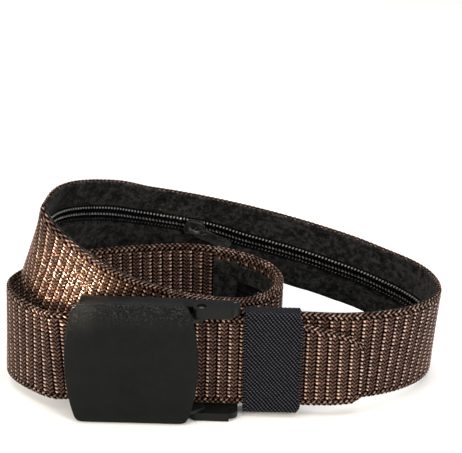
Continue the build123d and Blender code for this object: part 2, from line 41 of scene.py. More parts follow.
# ------------------------------------------------------------- strap routes
# distance along the strap, point on the middle of its width, direction across
# it from the lower to the upper edge, all in millimetres, as in part.py
STRAP = [
    (-12.51, -6.420, -36.770, 23.760, 0.00000, 0.00000, 1.00000),
    (-6.26, -0.164, -36.770, 23.760, 0.00000, 0.00000, 1.00000),
    (0.00, 6.092, -36.770, 23.760, 0.00000, 0.00000, 1.00000),
    (8.97, 15.061, -36.770, 23.760, 0.00000, 0.00000, 1.00000),
    (17.94, 24.030, -36.770, 23.760, 0.00000, 0.00000, 1.00000),
    (26.91, 33.000, -36.778, 23.747, 0.00904, -0.00045, 0.99996),
    (34.68, 40.768, -36.617, 23.578, 0.02909, -0.00584, 0.99956),
    (41.38, 47.396, -35.707, 23.429, 0.01720, -0.01774, 0.99969),
    (48.35, 54.205, -34.201, 23.338, 0.02814, -0.02637, 0.99926),
    (54.20, 59.745, -32.348, 23.152, 0.05634, -0.02355, 0.99813),
    (59.68, 64.688, -30.017, 22.862, 0.07994, -0.01801, 0.99664),
    (64.98, 69.151, -27.191, 22.505, 0.09554, -0.00892, 0.99539),
    (70.19, 73.152, -23.877, 22.095, 0.10937, 0.00944, 0.99396),
    (75.32, 76.638, -20.156, 21.601, 0.12323, 0.03759, 0.99167),
    (80.18, 79.457, -16.237, 21.047, 0.12333, 0.06009, 0.99054),
    (84.66, 81.517, -12.291, 20.551, 0.10355, 0.06531, 0.99248),
    (88.92, 82.878, -8.283, 20.183, 0.07232, 0.05477, 0.99588),
    (93.13, 83.602, -4.146, 19.954, 0.04170, 0.03275, 0.99859),
    (97.32, 83.691, 0.041, 19.876, 0.02036, 0.00243, 0.99979),
    (101.46, 83.141, 4.141, 19.931, 0.00845, -0.02533, 0.99964),
    (105.61, 81.943, 8.105, 20.085, 0.00006, -0.04985, 0.99876),
    (109.91, 80.067, 11.966, 20.325, -0.00628, -0.07850, 0.99689),
    (114.51, 77.478, 15.745, 20.665, -0.00901, -0.11268, 0.99359),
    (119.55, 74.105, 19.455, 21.130, -0.00668, -0.15218, 0.98833),
    (125.28, 69.789, 23.169, 21.776, 0.00334, -0.19646, 0.98051),
    (131.46, 64.803, 26.706, 22.665, 0.03150, -0.24789, 0.96828),
    (137.64, 59.521, 29.716, 23.753, 0.05950, -0.27848, 0.95860),
    (143.82, 53.979, 32.210, 24.862, 0.06779, -0.28099, 0.95731),
    (150.00, 48.288, 34.372, 25.911, 0.07477, -0.28181, 0.95655),
    (156.14, 42.541, 36.259, 26.979, 0.09323, -0.28787, 0.95312),
    (162.29, 36.724, 37.881, 28.101, 0.11191, -0.29307, 0.94952),
    (168.43, 30.848, 39.232, 29.275, 0.13078, -0.29742, 0.94575),
    (174.57, 24.926, 40.312, 30.497, 0.14980, -0.30088, 0.94182),
    (180.71, 18.971, 41.118, 31.766, 0.16893, -0.30347, 0.93775),
    (186.86, 12.994, 41.647, 33.079, 0.18812, -0.30517, 0.93353),
    (193.00, 7.008, 41.899, 34.433, 0.20735, -0.30598, 0.92918),
    (199.14, 1.025, 41.874, 35.825, 0.22656, -0.30590, 0.92471),
    (205.29, -4.941, 41.571, 37.252, 0.24572, -0.30493, 0.92013),
    (211.43, -10.880, 40.992, 38.711, 0.26479, -0.30307, 0.91544),
    (217.57, -16.777, 40.136, 40.200, 0.28373, -0.30032, 0.91066),
    (223.71, -22.621, 39.007, 41.715, 0.30250, -0.29669, 0.90580),
    (229.86, -28.401, 37.606, 43.253, 0.32107, -0.29219, 0.90086),
    (236.00, -34.103, 35.936, 44.811, 0.33938, -0.28683, 0.89585),
    (242.27, -39.808, 33.918, 46.452, 0.37699, -0.26451, 0.88764),
    (248.03, -44.793, 31.551, 48.075, 0.42153, -0.20637, 0.88302),
    (253.92, -49.510, 28.452, 49.767, 0.43482, -0.14829, 0.88822),
    (260.20, -54.249, 24.710, 51.462, 0.41992, -0.13354, 0.89769),
    (266.48, -58.804, 20.695, 53.054, 0.42988, -0.11281, 0.89581),
    (272.54, -62.771, 16.350, 54.495, 0.43524, -0.08479, 0.89631),
    (278.19, -66.000, 11.864, 55.690, 0.42674, -0.06002, 0.90238),
    (283.54, -68.539, 7.255, 56.600, 0.40533, -0.04241, 0.91319),
    (288.73, -70.460, 2.473, 57.231, 0.37789, -0.03218, 0.92529),
    (293.84, -71.769, -2.451, 57.577, 0.35033, -0.03386, 0.93602),
    (298.93, -72.487, -7.477, 57.607, 0.32196, -0.05588, 0.94510),
    (303.74, -72.627, -12.273, 57.305, 0.28813, -0.07348, 0.95477),
    (307.69, -72.189, -16.183, 56.956, 0.23492, -0.02878, 0.97159),
    (310.84, -71.279, -19.182, 56.672, 0.18537, -0.06016, 0.98083),
    (313.78, -69.901, -21.682, 56.043, 0.23565, -0.22112, 0.94635),
    (316.71, -68.140, -23.698, 54.856, 0.34357, -0.32800, 0.87998),
    (320.12, -65.842, -25.459, 53.074, 0.43553, -0.35515, 0.82715),
    (324.63, -62.596, -27.150, 50.434, 0.50530, -0.33995, 0.79316),
    (330.50, -58.217, -28.667, 46.845, 0.55098, -0.29443, 0.78086),
    (336.98, -53.163, -29.746, 42.931, 0.55324, -0.22005, 0.80343),
    (343.58, -47.733, -30.322, 39.242, 0.52050, -0.14537, 0.84140),
    (350.54, -41.717, -30.467, 35.747, 0.47086, -0.08201, 0.87839),
    (357.95, -35.069, -30.192, 32.495, 0.40987, -0.03047, 0.91163),
    (366.11, -27.545, -29.451, 29.408, 0.35195, 0.01048, 0.93596),
    (374.86, -19.379, -28.192, 26.564, 0.29930, 0.03948, 0.95334),
    (383.40, -11.360, -26.461, 24.171, 0.25251, 0.05655, 0.96594),
    (391.16, -4.133, -24.356, 22.316, 0.20975, 0.06394, 0.97566),
    (397.90, 2.030, -21.990, 20.970, 0.16732, 0.06340, 0.98386),
    (403.66, 7.111, -19.439, 20.063, 0.12266, 0.05560, 0.99089),
    (408.65, 11.254, -16.711, 19.503, 0.08106, 0.04216, 0.99582),
    (413.04, 14.543, -13.835, 19.194, 0.04704, 0.02511, 0.99858),
    (416.94, 17.027, -10.838, 19.062, 0.02168, 0.00537, 0.99975),
    (420.52, 18.775, -7.713, 19.053, 0.00691, -0.01449, 0.99987),
    (423.92, 19.818, -4.485, 19.123, 0.00324, -0.03010, 0.99954),
    (427.24, 20.160, -1.198, 19.234, 0.00814, -0.03668, 0.99929),
    (430.57, 19.799, 2.111, 19.359, 0.01625, -0.03511, 0.99925),
    (434.04, 18.727, 5.402, 19.485, 0.02228, -0.02694, 0.99939),
    (437.75, 16.920, 8.635, 19.594, 0.02243, -0.01501, 0.99964),
    (441.85, 14.321, 11.796, 19.679, 0.01832, -0.00599, 0.99981),
    (446.46, 10.876, 14.853, 19.744, 0.01376, -0.00119, 0.99990),
    (451.64, 6.566, 17.717, 19.796, 0.01065, 0.00152, 0.99994),
    (457.39, 1.420, 20.278, 19.834, 0.00694, 0.00482, 0.99996),
    (463.66, -4.465, 22.418, 19.845, 0.00129, 0.00798, 0.99997),
]

# The tail strap: sewn on outside the pocket strap, round the left end of the
# coil, through the buckle, over the front of the pocket strap to its tip.
TAIL = [
    (366.11, -27.268, -31.884, 29.331, 0.35195, 0.01048, 0.93596),
    (374.86, -18.948, -30.604, 26.528, 0.29930, 0.03948, 0.95334),
    (383.40, -10.766, -28.837, 24.155, 0.25251, 0.05655, 0.96594),
    (391.16, -3.357, -26.680, 22.301, 0.20975, 0.06394, 0.97566),
    (397.90, 3.012, -24.234, 20.947, 0.16732, 0.06340, 0.98386),
    (403.66, 8.329, -21.565, 20.031, 0.12266, 0.05560, 0.99089),
    (408.65, 12.731, -18.666, 19.465, 0.08106, 0.04216, 0.99582),
    (413.04, 16.291, -15.550, 19.154, 0.04704, 0.02511, 0.99858),
    (416.94, 19.045, -12.227, 19.026, 0.02168, 0.00537, 0.99975),
    (420.52, 21.019, -8.695, 19.023, 0.00691, -0.01449, 0.99987),
    (423.92, 22.215, -4.994, 19.099, 0.00324, -0.03010, 0.99954),
    (427.24, 22.610, -1.191, 19.214, 0.00814, -0.03668, 0.99929),
    (430.57, 22.194, 2.629, 19.339, 0.01625, -0.03511, 0.99925),
    (434.04, 20.970, 6.387, 19.461, 0.02228, -0.02694, 0.99939),
    (437.75, 18.940, 10.021, 19.570, 0.02243, -0.01501, 0.99964),
    (441.85, 16.082, 13.499, 19.657, 0.01832, -0.00599, 0.99981),
    (446.46, 12.368, 16.796, 19.726, 0.01376, -0.00119, 0.99990),
    (451.64, 7.790, 19.839, 19.779, 0.01065, 0.00152, 0.99994),
    (457.39, 2.384, 22.530, 19.816, 0.00694, 0.00482, 0.99996),
    (463.66, -3.751, 24.762, 19.825, 0.00129, 0.00798, 0.99997),
    (470.63, -10.779, 26.429, 19.795, -0.00583, 0.00919, 0.99994),
    (478.04, -18.407, 26.922, 19.729, -0.01101, 0.00789, 0.99991),
    (485.77, -26.290, 26.249, 19.637, -0.01387, 0.00568, 0.99989),
    (493.66, -34.170, 25.122, 19.527, -0.01530, 0.00364, 0.99988),
    (501.23, -41.652, 23.934, 19.414, -0.01578, 0.00171, 0.99987),
    (508.64, -48.854, 22.206, 19.302, -0.01523, -0.00044, 0.99988),
    (515.79, -55.618, 19.895, 19.201, -0.01314, -0.00289, 0.99991),
    (522.57, -61.786, 17.088, 19.119, -0.00920, -0.00564, 0.99994),
    (528.95, -67.280, 13.861, 19.069, -0.00039, -0.00615, 0.99998),
    (534.88, -72.034, 10.320, 19.085, 0.01385, -0.00007, 0.99990),
    (540.33, -75.990, 6.580, 19.198, 0.03055, 0.01572, 0.99941),
    (545.32, -79.151, 2.721, 19.417, 0.04266, 0.03760, 0.99838),
    (549.93, -81.536, -1.197, 19.722, 0.04834, 0.06194, 0.99691),
    (554.22, -83.178, -5.145, 20.096, 0.04707, 0.08646, 0.99514),
    (558.34, -84.109, -9.133, 20.526, 0.04081, 0.10618, 0.99351),
    (562.39, -84.350, -13.143, 20.993, 0.02951, 0.11884, 0.99247),
    (566.44, -83.902, -17.136, 21.473, 0.01497, 0.12282, 0.99232),
    (570.59, -82.755, -21.087, 21.940, 0.00160, 0.11326, 0.99356),
    (574.90, -80.916, -24.962, 22.341, -0.00386, 0.08782, 0.99613),
    (579.39, -78.420, -28.673, 22.604, 0.00287, 0.04993, 0.99875),
    (584.03, -75.321, -32.122, 22.676, 0.01757, 0.01252, 0.99977),
    (589.03, -71.474, -35.311, 22.588, 0.02734, -0.00838, 0.99959),
    (593.69, -67.655, -37.975, 22.521, -0.00611, 0.00744, 0.99995),
    (597.35, -64.429, -39.694, 22.653, -0.05820, 0.02245, 0.99805),
    (600.87, -61.010, -40.421, 22.907, -0.06768, 0.00504, 0.99769),
    (605.41, -56.477, -40.470, 23.060, -0.00189, -0.00000, 1.00000),
    (613.81, -48.078, -40.470, 23.060, 0.00000, 0.00000, 1.00000),
    (621.81, -40.078, -40.470, 23.060, 0.00000, 0.00000, 1.00000),
    (629.81, -32.078, -40.470, 23.060, 0.00000, 0.00000, 1.00000),
    (637.81, -24.078, -40.470, 23.060, 0.00000, 0.00000, 1.00000),
    (645.81, -16.078, -40.470, 23.060, 0.00000, 0.00000, 1.00000),
    (653.81, -8.078, -40.470, 23.060, 0.00000, 0.00000, 1.00000),
    (661.81, -0.078, -40.470, 23.060, 0.00000, 0.00000, 1.00000),
    (669.81, 7.922, -40.470, 23.060, 0.00000, 0.00000, 1.00000),
    (677.81, 15.922, -40.470, 23.060, 0.00000, 0.00000, 1.00000),
    (685.81, 23.922, -40.470, 23.060, 0.00000, 0.00000, 1.00000),
    (687.97, 26.080, -40.470, 23.060, 0.00000, 0.00000, 1.00000),
    (693.97, 32.080, -40.470, 23.060, 0.00000, 0.00000, 1.00000),
    (698.97, 37.080, -40.393, 23.060, 0.00000, 0.00000, 1.00000),
    (703.97, 42.080, -40.136, 23.060, 0.00000, 0.00000, 1.00000),
    (707.97, 46.080, -39.587, 23.060, 0.00000, 0.00000, 1.00000),
    (711.97, 50.080, -38.813, 23.060, 0.00000, 0.00000, 1.00000),
    (715.47, 53.580, -38.039, 23.060, 0.00000, 0.00000, 1.00000),
]

HALF = 19.0
WEB_OUT, WEB_IN, TAIL_HALF = -1.4, 0.2, 0.8
ZIP_ROUTE = [(0, 0.3), (114, 0.3), (135, 0.4), (150, 0.35), (165, 0.75), (188, 0.85), (195, 1.2), (203, 2.3), (211, 2.75), (222, 2.6), (500, 2.6)]
ZIP_DOWN, ZIP_UP = 5.0, 4.15
A_LINE0, A_LINE1, A_COIL0 = 3.0, 15.2, 36.0
A_OVER, A_END, PATCH, COIL_END, A_SLIDER = 366.11, 463.66, 11.0, 22.0, 214.93


class Path:
    """A twice-differentiable route through the stations."""

    def __init__(self, rows):
        r = np.array(rows, float)
        self.a, self.y = r[:, 0], r[:, 1:7]
        n, h = len(self.a), np.diff(self.a)
        A, B = np.zeros((n, n)), np.zeros((n, 6))
        A[0, 0] = A[-1, -1] = 1
        for i in range(1, n - 1):
            A[i, i - 1], A[i, i], A[i, i + 1] = h[i - 1], 2*(h[i - 1] + h[i]), h[i]
            B[i] = 6*((self.y[i + 1] - self.y[i])/h[i] - (self.y[i] - self.y[i - 1])/h[i - 1])
        self.m = np.linalg.solve(A, B)

    def frame(self, a):
        a = np.clip(np.asarray(a, float), self.a[0], self.a[-1])
        i = np.clip(np.searchsorted(self.a, a, side="right") - 1, 0, len(self.a) - 2)
        h = (self.a[i + 1] - self.a[i])[..., None]
        p = (self.a[i + 1] - a)[..., None]/h
        q = 1 - p
        y0, y1, m0, m1 = self.y[i], self.y[i + 1], self.m[i], self.m[i + 1]
        y = p*y0 + q*y1 + ((p**3 - p)*m0 + (q**3 - q)*m1)*h*h/6
        d = (y1 - y0)/h + ((3*q*q - 1)*m1 - (3*p*p - 1)*m0)*h/6
        P, W, T = y[..., :3], unit(y[..., 3:]), unit(d[..., :3])
        N = unit(np.cross(W, T))
        return P, W, T, N


def unit(v):
    return v/np.linalg.norm(v, axis=-1, keepdims=True)


POCKET, TAILP = Path(STRAP), Path(TAIL)


def mid(a):
    """Where the two coils of the zip meet, across the strap."""
    x, y = np.array(ZIP_ROUTE, float).T
    return sum(np.interp(np.asarray(a, float) + d, x, y) for d in (-3, -1.5, 0, 1.5, 3))/5




# ------------------------------------------------------------ mesh plumbing
def volume(V, F):
    a, b, c = V[F[:, 0]], V[F[:, 1]], V[F[:, 2]]
    s = (a*np.cross(b, c)).sum()
    if F.shape[1] == 4:
        d = V[F[:, 3]]
        s += (a*np.cross(c, d)).sum()
    return s


def make(name, V, quads, ngons=(), attrs=None, smooth=True, mat=None, body="belt", slot=None):
    """A mesh object from millimetre vertices, faces turned outward."""
    quads = np.asarray(quads)
    flip = volume(V, quads) < 0
    faces = [list(map(int, f)) for f in (quads[:, ::-1] if flip else quads)]
    faces += [list(reversed(f)) if flip else list(f) for f in ngons]
    me = bpy.data.meshes.new(name)
    me.from_pydata((V*MM).tolist(), [], faces)
    me.update()
    if smooth:
        me.polygons.foreach_set("use_smooth", np.ones(len(me.polygons), dtype=bool))
    for key, val in (attrs or {}).items():
        at = me.attributes.new(key, "FLOAT_VECTOR", "POINT")
        at.data.foreach_set("vector", np.asarray(val, np.float32).ravel())
    ob = bpy.data.objects.new(name, me)
    bpy.context.scene.collection.objects.link(ob)
    if mat:
        me.materials.append(mat)
    if body:
        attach(ob, body)
    return ob


def tube_faces(K, M, base=0):
    i, j = np.arange(K - 1)[:, None], np.arange(M)[None, :]
    k = (j + 1) % M
    return base + np.stack([i*M + j, i*M + k, (i + 1)*M + k, (i + 1)*M + j], -1).reshape(-1, 4)


def tube(name, G, attrs=None, **kw):
    """G (K, M, 3): K closed rings of M points, capped at both ends."""
    K, M = G.shape[:2]
    caps = [[j for j in range(M - 1, -1, -1)], [(K - 1)*M + j for j in range(M)]]
    at = {k: v.reshape(-1, 3) for k, v in (attrs or {}).items()}
    return make(name, G.reshape(-1, 3), tube_faces(K, M), caps, at, **kw)


def many_tubes(name, tubes, attrs=None, **kw):
    """Several capped tubes, each (K, M, 3), in one mesh."""
    V, Q, C, base = [], [], [], 0
    for G in tubes:
        K, M = G.shape[:2]
        F = tube_faces(K, M)
        if volume(G.reshape(-1, 3), F) < 0:
            F = F[:, ::-1]
            C += [[base + j for j in range(M)], [base + (K - 1)*M + j for j in range(M - 1, -1, -1)]]
        else:
            C += [[base + j for j in range(M - 1, -1, -1)], [base + (K - 1)*M + j for j in range(M)]]
        V.append(G.reshape(-1, 3))
        Q.append(F + base)
        base += K*M
    V, Q = np.concatenate(V), np.concatenate(Q)
    return make(name, V, Q, C, attrs, **kw)


def rod(points, radius, sides=8, up=(0.0, 0.0, 1.0), squash=1.0):
    """A round tube (K, sides, 3) along points, radius a number or one per point."""
    p = np.asarray(points, float)
    t = unit(np.gradient(p, axis=0))
    up = np.broadcast_to(np.asarray(up, float), p.shape)
    s = unit(np.cross(t, up))
    n = np.cross(s, t)
    r = np.broadcast_to(np.asarray(radius, float), (len(p),))[:, None, None]
    th = np.arange(sides)*2*math.pi/sides
    return p[:, None] + r*(np.cos(th)[None, :, None]*s[:, None] + squash*np.sin(th)[None, :, None]*n[:, None])


def rnd(*keys):
    x = np.zeros(1)
    for k, c in zip(keys, (12.9898, 78.233, 37.719, 91.17)):
        x = x + np.asarray(k, float)*c
    x = np.sin(x)*43758.5453
    return x - np.floor(x)


def step(e0, e1, x):
    t = np.clip((x - e0)/(e1 - e0), 0, 1)
    return t*t*(3 - 2*t)


def wander(x, y, seed, scale):
    """Smooth repeatable bumps, about -1 to 1."""
    rs = np.random.RandomState(seed)
    out = 0
    for _ in range(7):
        th, k, ph = rs.uniform(0, 2*math.pi), rs.uniform(0.6, 1.6)/scale, rs.uniform(0, 2*math.pi)
        out = out + np.sin(2*math.pi*k*(x*math.cos(th) + y*math.sin(th)) + ph)
    return out/4


# ---------------------------------------------------------------- materials
def nodes_of(name):
    m = bpy.data.materials.new(name)
    m.use_nodes = True
    nt = m.node_tree
    nt.nodes.clear()
    out = nt.nodes.new("ShaderNodeOutputMaterial")
    bsdf = nt.nodes.new("ShaderNodeBsdfPrincipled")
    nt.links.new(bsdf.outputs[0], out.inputs[0])
    return m, nt, bsdf


class Net:
    def __init__(self, nt):
        self.nt = nt

    def put(self, sock, v):
        if hasattr(v, "is_output"):
            self.nt.links.new(v, sock)
        elif v is not None:
            sock.default_value = v

    def math(self, op, a, b=None, c=None, clamp=False):
        n = self.nt.nodes.new("ShaderNodeMath")
        n.operation, n.use_clamp = op, clamp
        for s, v in zip(n.inputs, (a, b, c)):
            self.put(s, v)
        return n.outputs[0]

    def noise(self, vec, scale, detail=3.0, rough=0.55, dist=0.0):
        n = self.nt.nodes.new("ShaderNodeTexNoise")
        n.inputs["Scale"].default_value = scale
        n.inputs["Detail"].default_value = detail
        n.inputs["Roughness"].default_value = rough
        n.inputs["Distortion"].default_value = dist
        self.nt.links.new(vec, n.inputs["Vector"])
        return n.outputs[0]

    def voronoi(self, vec, scale, feature="F1"):
        n = self.nt.nodes.new("ShaderNodeTexVoronoi")
        n.feature = feature
        n.inputs["Scale"].default_value = scale
        self.nt.links.new(vec, n.inputs["Vector"])
        return n.outputs[0]

    def ramp(self, fac, stops, mode="LINEAR"):
        n = self.nt.nodes.new("ShaderNodeValToRGB")
        n.color_ramp.interpolation = mode
        while len(n.color_ramp.elements) < len(stops):
            n.color_ramp.elements.new(0.5)
        for e, (pos, col) in zip(n.color_ramp.elements, stops):
            e.position = pos
            e.color = (*col, 1) if len(col) == 3 else col
        self.nt.links.new(fac, n.inputs[0])
        return n.outputs[0]

    def mix(self, fac, a, b, mode="MIX"):
        n = self.nt.nodes.new("ShaderNodeMix")
        n.data_type, n.blend_type = "RGBA", mode
        self.put(n.inputs[0], fac)
        for s, v in ((n.inputs[6], a), (n.inputs[7], b)):
            if isinstance(v, tuple):
                v = (*v, 1)
            self.put(s, v)
        return n.outputs[2]

    def coords(self):
        return self.nt.nodes.new("ShaderNodeTexCoord").outputs["Object"]

    def attr(self, name):
        n = self.nt.nodes.new("ShaderNodeAttribute")
        n.attribute_name = name
        s = self.nt.nodes.new("ShaderNodeSeparateXYZ")
        self.nt.links.new(n.outputs["Vector"], s.inputs[0])
        return n.outputs["Vector"], s.outputs[0], s.outputs[1], s.outputs[2]

    def scale(self, vec, v):
        n = self.nt.nodes.new("ShaderNodeVectorMath")
        n.operation = "MULTIPLY"
        self.nt.links.new(vec, n.inputs[0])
        n.inputs[1].default_value = v
        return n.outputs[0]

    def bump(self, height, strength, distance, normal=None):
        n = self.nt.nodes.new("ShaderNodeBump")
        n.inputs["Strength"].default_value = strength
        n.inputs["Distance"].default_value = distance
        self.nt.links.new(height, n.inputs["Height"])
        if normal is not None:
            self.nt.links.new(normal, n.inputs["Normal"])
        return n.outputs[0]


def webbing_material(name, painted_crevice_shade, chain, bead, warm):
    """Glossy nylon yarns: colour by yarn and by height, with painted shade in the valleys and a painted highlight on
    the yarn tops; filaments in the bump.
    """
    m, nt, b = nodes_of(name)
    N = Net(nt)
    vec, h, kind, r = N.attr("weave")
    oc = N.coords()
    big = N.noise(oc, 38.0, 2.0)
    fine = N.noise(oc, 900.0, 2.0)
    fibre = N.noise(N.scale(oc, (1.0, 1.0, 0.35)), 5200.0, 2.0)
    yarn = N.mix(kind, chain, bead)
    yarn = N.mix(N.math("MULTIPLY", big, N.math("MULTIPLY_ADD", kind, 0.45, 0.12)), yarn, warm)
    # per-yarn tone from r, which also carries the painted highlight on the bend
    tint = N.math("MULTIPLY_ADD", r, 0.55, 0.72)
    tint = N.math("MULTIPLY", tint, N.math("MULTIPLY_ADD", fine, 0.5, 0.75))
    bright = N.nt.nodes.new("ShaderNodeVectorMath")
    bright.operation = "SCALE"
    nt.links.new(yarn, bright.inputs[0])
    nt.links.new(tint, bright.inputs["Scale"])
    # painted shade and highlight: colour runs from the near-black crevice shade in the valleys to full yarn colour only
    # on the yarn tops
    painted_shade_and_highlight = N.ramp(h, [(0.0, (0, 0, 0)), (0.30, (0.06, 0.06, 0.06)), (0.70, (0.50, 0.50, 0.50)), (0.95, (1, 1, 1))])
    col = N.mix(painted_shade_and_highlight, painted_crevice_shade, bright.outputs[0])
    nt.links.new(col, b.inputs["Base Color"])
    nt.links.new(N.math("MULTIPLY_ADD", fibre, 0.22, 0.26), b.inputs["Roughness"])
    nt.links.new(N.math("MULTIPLY", N.math("MULTIPLY", h, h), N.math("MULTIPLY_ADD", kind, 0.75, 0.25)), b.inputs["Specular IOR Level"])
    b.inputs["Sheen Weight"].default_value = 0.02
    b.inputs["Sheen Roughness"].default_value = 0.4
    hh = N.math("ADD", N.math("MULTIPLY", fibre, 0.8), N.math("MULTIPLY", fine, 0.4))
    nt.links.new(N.bump(hh, 0.45, 0.00008), b.inputs["Normal"])
    return m


def cloth_material(name, dark, light, weave_mm=0.42, strength=0.35, blotch=60.0, rough=0.82, sheen=0.25):
    """Plain woven cloth: fine over-under grain, mottled and slightly dusty."""
    m, nt, b = nodes_of(name)
    N = Net(nt)
    vec, a, w, k = N.attr("cloth")
    oc = N.coords()
    sa = N.math("SINE", N.math("MULTIPLY", a, 2*math.pi/weave_mm/2))
    sw = N.math("SINE", N.math("MULTIPLY", w, 2*math.pi/weave_mm/2))
    over = N.math("MULTIPLY_ADD", N.math("MULTIPLY", sa, sw), 0.5, 0.5)
    blot = N.noise(oc, blotch, 5.0, 0.65)
    mid = N.noise(oc, 420.0, 4.0, 0.7)
    fine = N.noise(oc, 2600.0, 3.0, 0.7)
    f = N.math("ADD", N.math("MULTIPLY", blot, 0.30), N.math("MULTIPLY", mid, 0.80))
    f = N.math("ADD", f, N.math("MULTIPLY", fine, 0.65))
    f = N.math("ADD", f, N.math("MULTIPLY", over, 0.16))
    col = N.ramp(f, [(0.74, dark), (0.98, tuple(0.22*v for v in light)), (1.26, light)])
    nt.links.new(col, b.inputs["Base Color"])
    nt.links.new(N.math("MULTIPLY_ADD", fine, 0.2, rough - 0.1), b.inputs["Roughness"])
    b.inputs["Specular IOR Level"].default_value = 0.03
    b.inputs["Sheen Weight"].default_value = sheen*0.1
    b.inputs["Sheen Roughness"].default_value = 0.5
    hh = N.math("ADD", N.math("MULTIPLY", over, 0.7), N.math("MULTIPLY", fine, 0.5))
    nt.links.new(N.bump(hh, strength, 0.0001), b.inputs["Normal"])
    return m


def yarn_material(name, dark, light, rough=0.4, spec=0.5, sheen=0.0, scale=1800.0, low=0.12):
    """Thread, coil or elastic yarn: attribute x is how far the yarn stands up, and the colour is painted lighter with
    it as a highlight.
    """
    m, nt, b = nodes_of(name)
    N = Net(nt)
    vec, h, k, r = N.attr("weave")
    oc = N.coords()
    fine = N.noise(oc, scale, 3.0, 0.65)
    f = N.math("MULTIPLY", h, N.math("MULTIPLY_ADD", fine, 0.7, 0.65))
    f = N.math("MULTIPLY", f, N.math("MULTIPLY_ADD", r, 0.4, 0.8))
    nt.links.new(N.ramp(f, [(low, dark), (0.98, light)]), b.inputs["Base Color"])
    nt.links.new(N.math("MULTIPLY_ADD", fine, 0.2, rough - 0.1), b.inputs["Roughness"])
    nt.links.new(N.math("MULTIPLY", N.math("MULTIPLY", h, h), spec), b.inputs["Specular IOR Level"])
    b.inputs["Sheen Weight"].default_value = sheen
    nt.links.new(N.bump(fine, 0.3, 0.00006), b.inputs["Normal"])
    return m


def plastic_material(name, dark, light, grain=1500.0, rough=0.42, strength=0.35, spec=0.12, wear_and_highlight=None):
    """Moulded nylon with a spark-eroded grain and faint rubbed patches, and optionally a painted highlight in specks
    towards the top.
    """
    m, nt, b = nodes_of(name)
    N = Net(nt)
    oc = N.coords()
    g1 = N.voronoi(oc, grain)
    g2 = N.noise(oc, grain*2.2, 3.0, 0.6)
    rub = N.noise(oc, 90.0, 5.0, 0.7, 0.4)
    scuff = N.noise(N.scale(oc, (1.0, 1.0, 0.25)), 700.0, 4.0, 0.75)
    f = N.math("ADD", N.math("MULTIPLY", rub, 0.7), N.math("MULTIPLY", scuff, 0.35))
    f = N.math("ADD", f, N.math("MULTIPLY", g2, 0.35))
    col = N.ramp(f, [(0.5, dark), (0.95, light)])
    if wear_and_highlight:
        # painted highlight: grain specks lightened towards the upper edge, where the light falls
        z = N.nt.nodes.new("ShaderNodeSeparateXYZ")
        nt.links.new(oc, z.inputs[0])
        hi = N.math("MULTIPLY_ADD", z.outputs[2], 1/(wear_and_highlight[1] - wear_and_highlight[0]), -wear_and_highlight[0]/(wear_and_highlight[1] - wear_and_highlight[0]))
        speck = N.ramp(N.noise(oc, 1100.0, 4.0, 0.8), [(0.50, (0, 0, 0)), (0.68, (1, 1, 1))])
        hi = N.math("MULTIPLY", N.math("MAXIMUM", hi, 0.0), speck)
        col = N.mix(hi, col, (0.060, 0.062, 0.060))
    nt.links.new(col, b.inputs["Base Color"])
    rr = N.math("ADD", N.math("MULTIPLY", rub, 0.16), rough - 0.08)
    rr = N.math("ADD", rr, N.math("MULTIPLY", g2, 0.08))
    nt.links.new(rr, b.inputs["Roughness"])
    b.inputs["Specular IOR Level"].default_value = spec
    hh = N.math("ADD", N.math("MULTIPLY", g1, 0.9), N.math("MULTIPLY", g2, 0.5))
    nt.links.new(N.bump(hh, strength, 0.00012), b.inputs["Normal"])
    return m


def metal_material(name, base, wear_and_highlight, rough=0.3, metallic=0.8):
    """Metal, painted dark and rubbed paler in random patches."""
    m, nt, b = nodes_of(name)
    N = Net(nt)
    oc = N.coords()
    n1 = N.noise(oc, 260.0, 5.0, 0.7)
    n2 = N.noise(N.scale(oc, (1.0, 1.0, 6.0)), 1400.0, 3.0, 0.6)
    f = N.math("ADD", N.math("MULTIPLY", n1, 0.8), N.math("MULTIPLY", n2, 0.35))
    nt.links.new(N.ramp(f, [(0.45, base), (0.85, wear_and_highlight)]), b.inputs["Base Color"])
    nt.links.new(N.math("MULTIPLY_ADD", n2, 0.25, rough - 0.1), b.inputs["Roughness"])
    b.inputs["Metallic"].default_value = metallic
    nt.links.new(N.bump(n2, 0.2, 0.00005), b.inputs["Normal"])
    return m


# painted shade: the near-black crevice colour; the bead colour is pale yarn lightened further as a painted highlight
M_WEB = webbing_material("webbing_brown", (0.0022, 0.0008, 0.0006), (0.118, 0.050, 0.036), (0.56, 0.375, 0.300), (0.34, 0.185, 0.105))
M_LINE = cloth_material("lining_charcoal", (0.0010, 0.0010, 0.0011), (0.030, 0.030, 0.030))
M_PATCH = cloth_material("lining_patch", (0.0008, 0.0008, 0.0009), (0.026, 0.026, 0.026), blotch=180.0)
M_TAPE = cloth_material("zip_tape", (0.0015, 0.0015, 0.0018), (0.010, 0.010, 0.011), weave_mm=0.7, sheen=0.05)
M_COIL = yarn_material("zip_coil", (0.0016, 0.0016, 0.0018), (0.22, 0.22, 0.225), rough=0.25, spec=0.35, low=0.42)
M_THREAD_K = yarn_material("thread_black", (0.002, 0.002, 0.0022), (0.018, 0.018, 0.019), rough=0.5, spec=0.1)
M_THREAD_B = yarn_material("thread_brown", (0.05, 0.022, 0.014), (0.36, 0.21, 0.14), rough=0.45)
M_ELASTIC = yarn_material("elastic_black", (0.0012, 0.0012, 0.0022), (0.050, 0.051, 0.062), rough=0.42, spec=0.12, low=0.62)
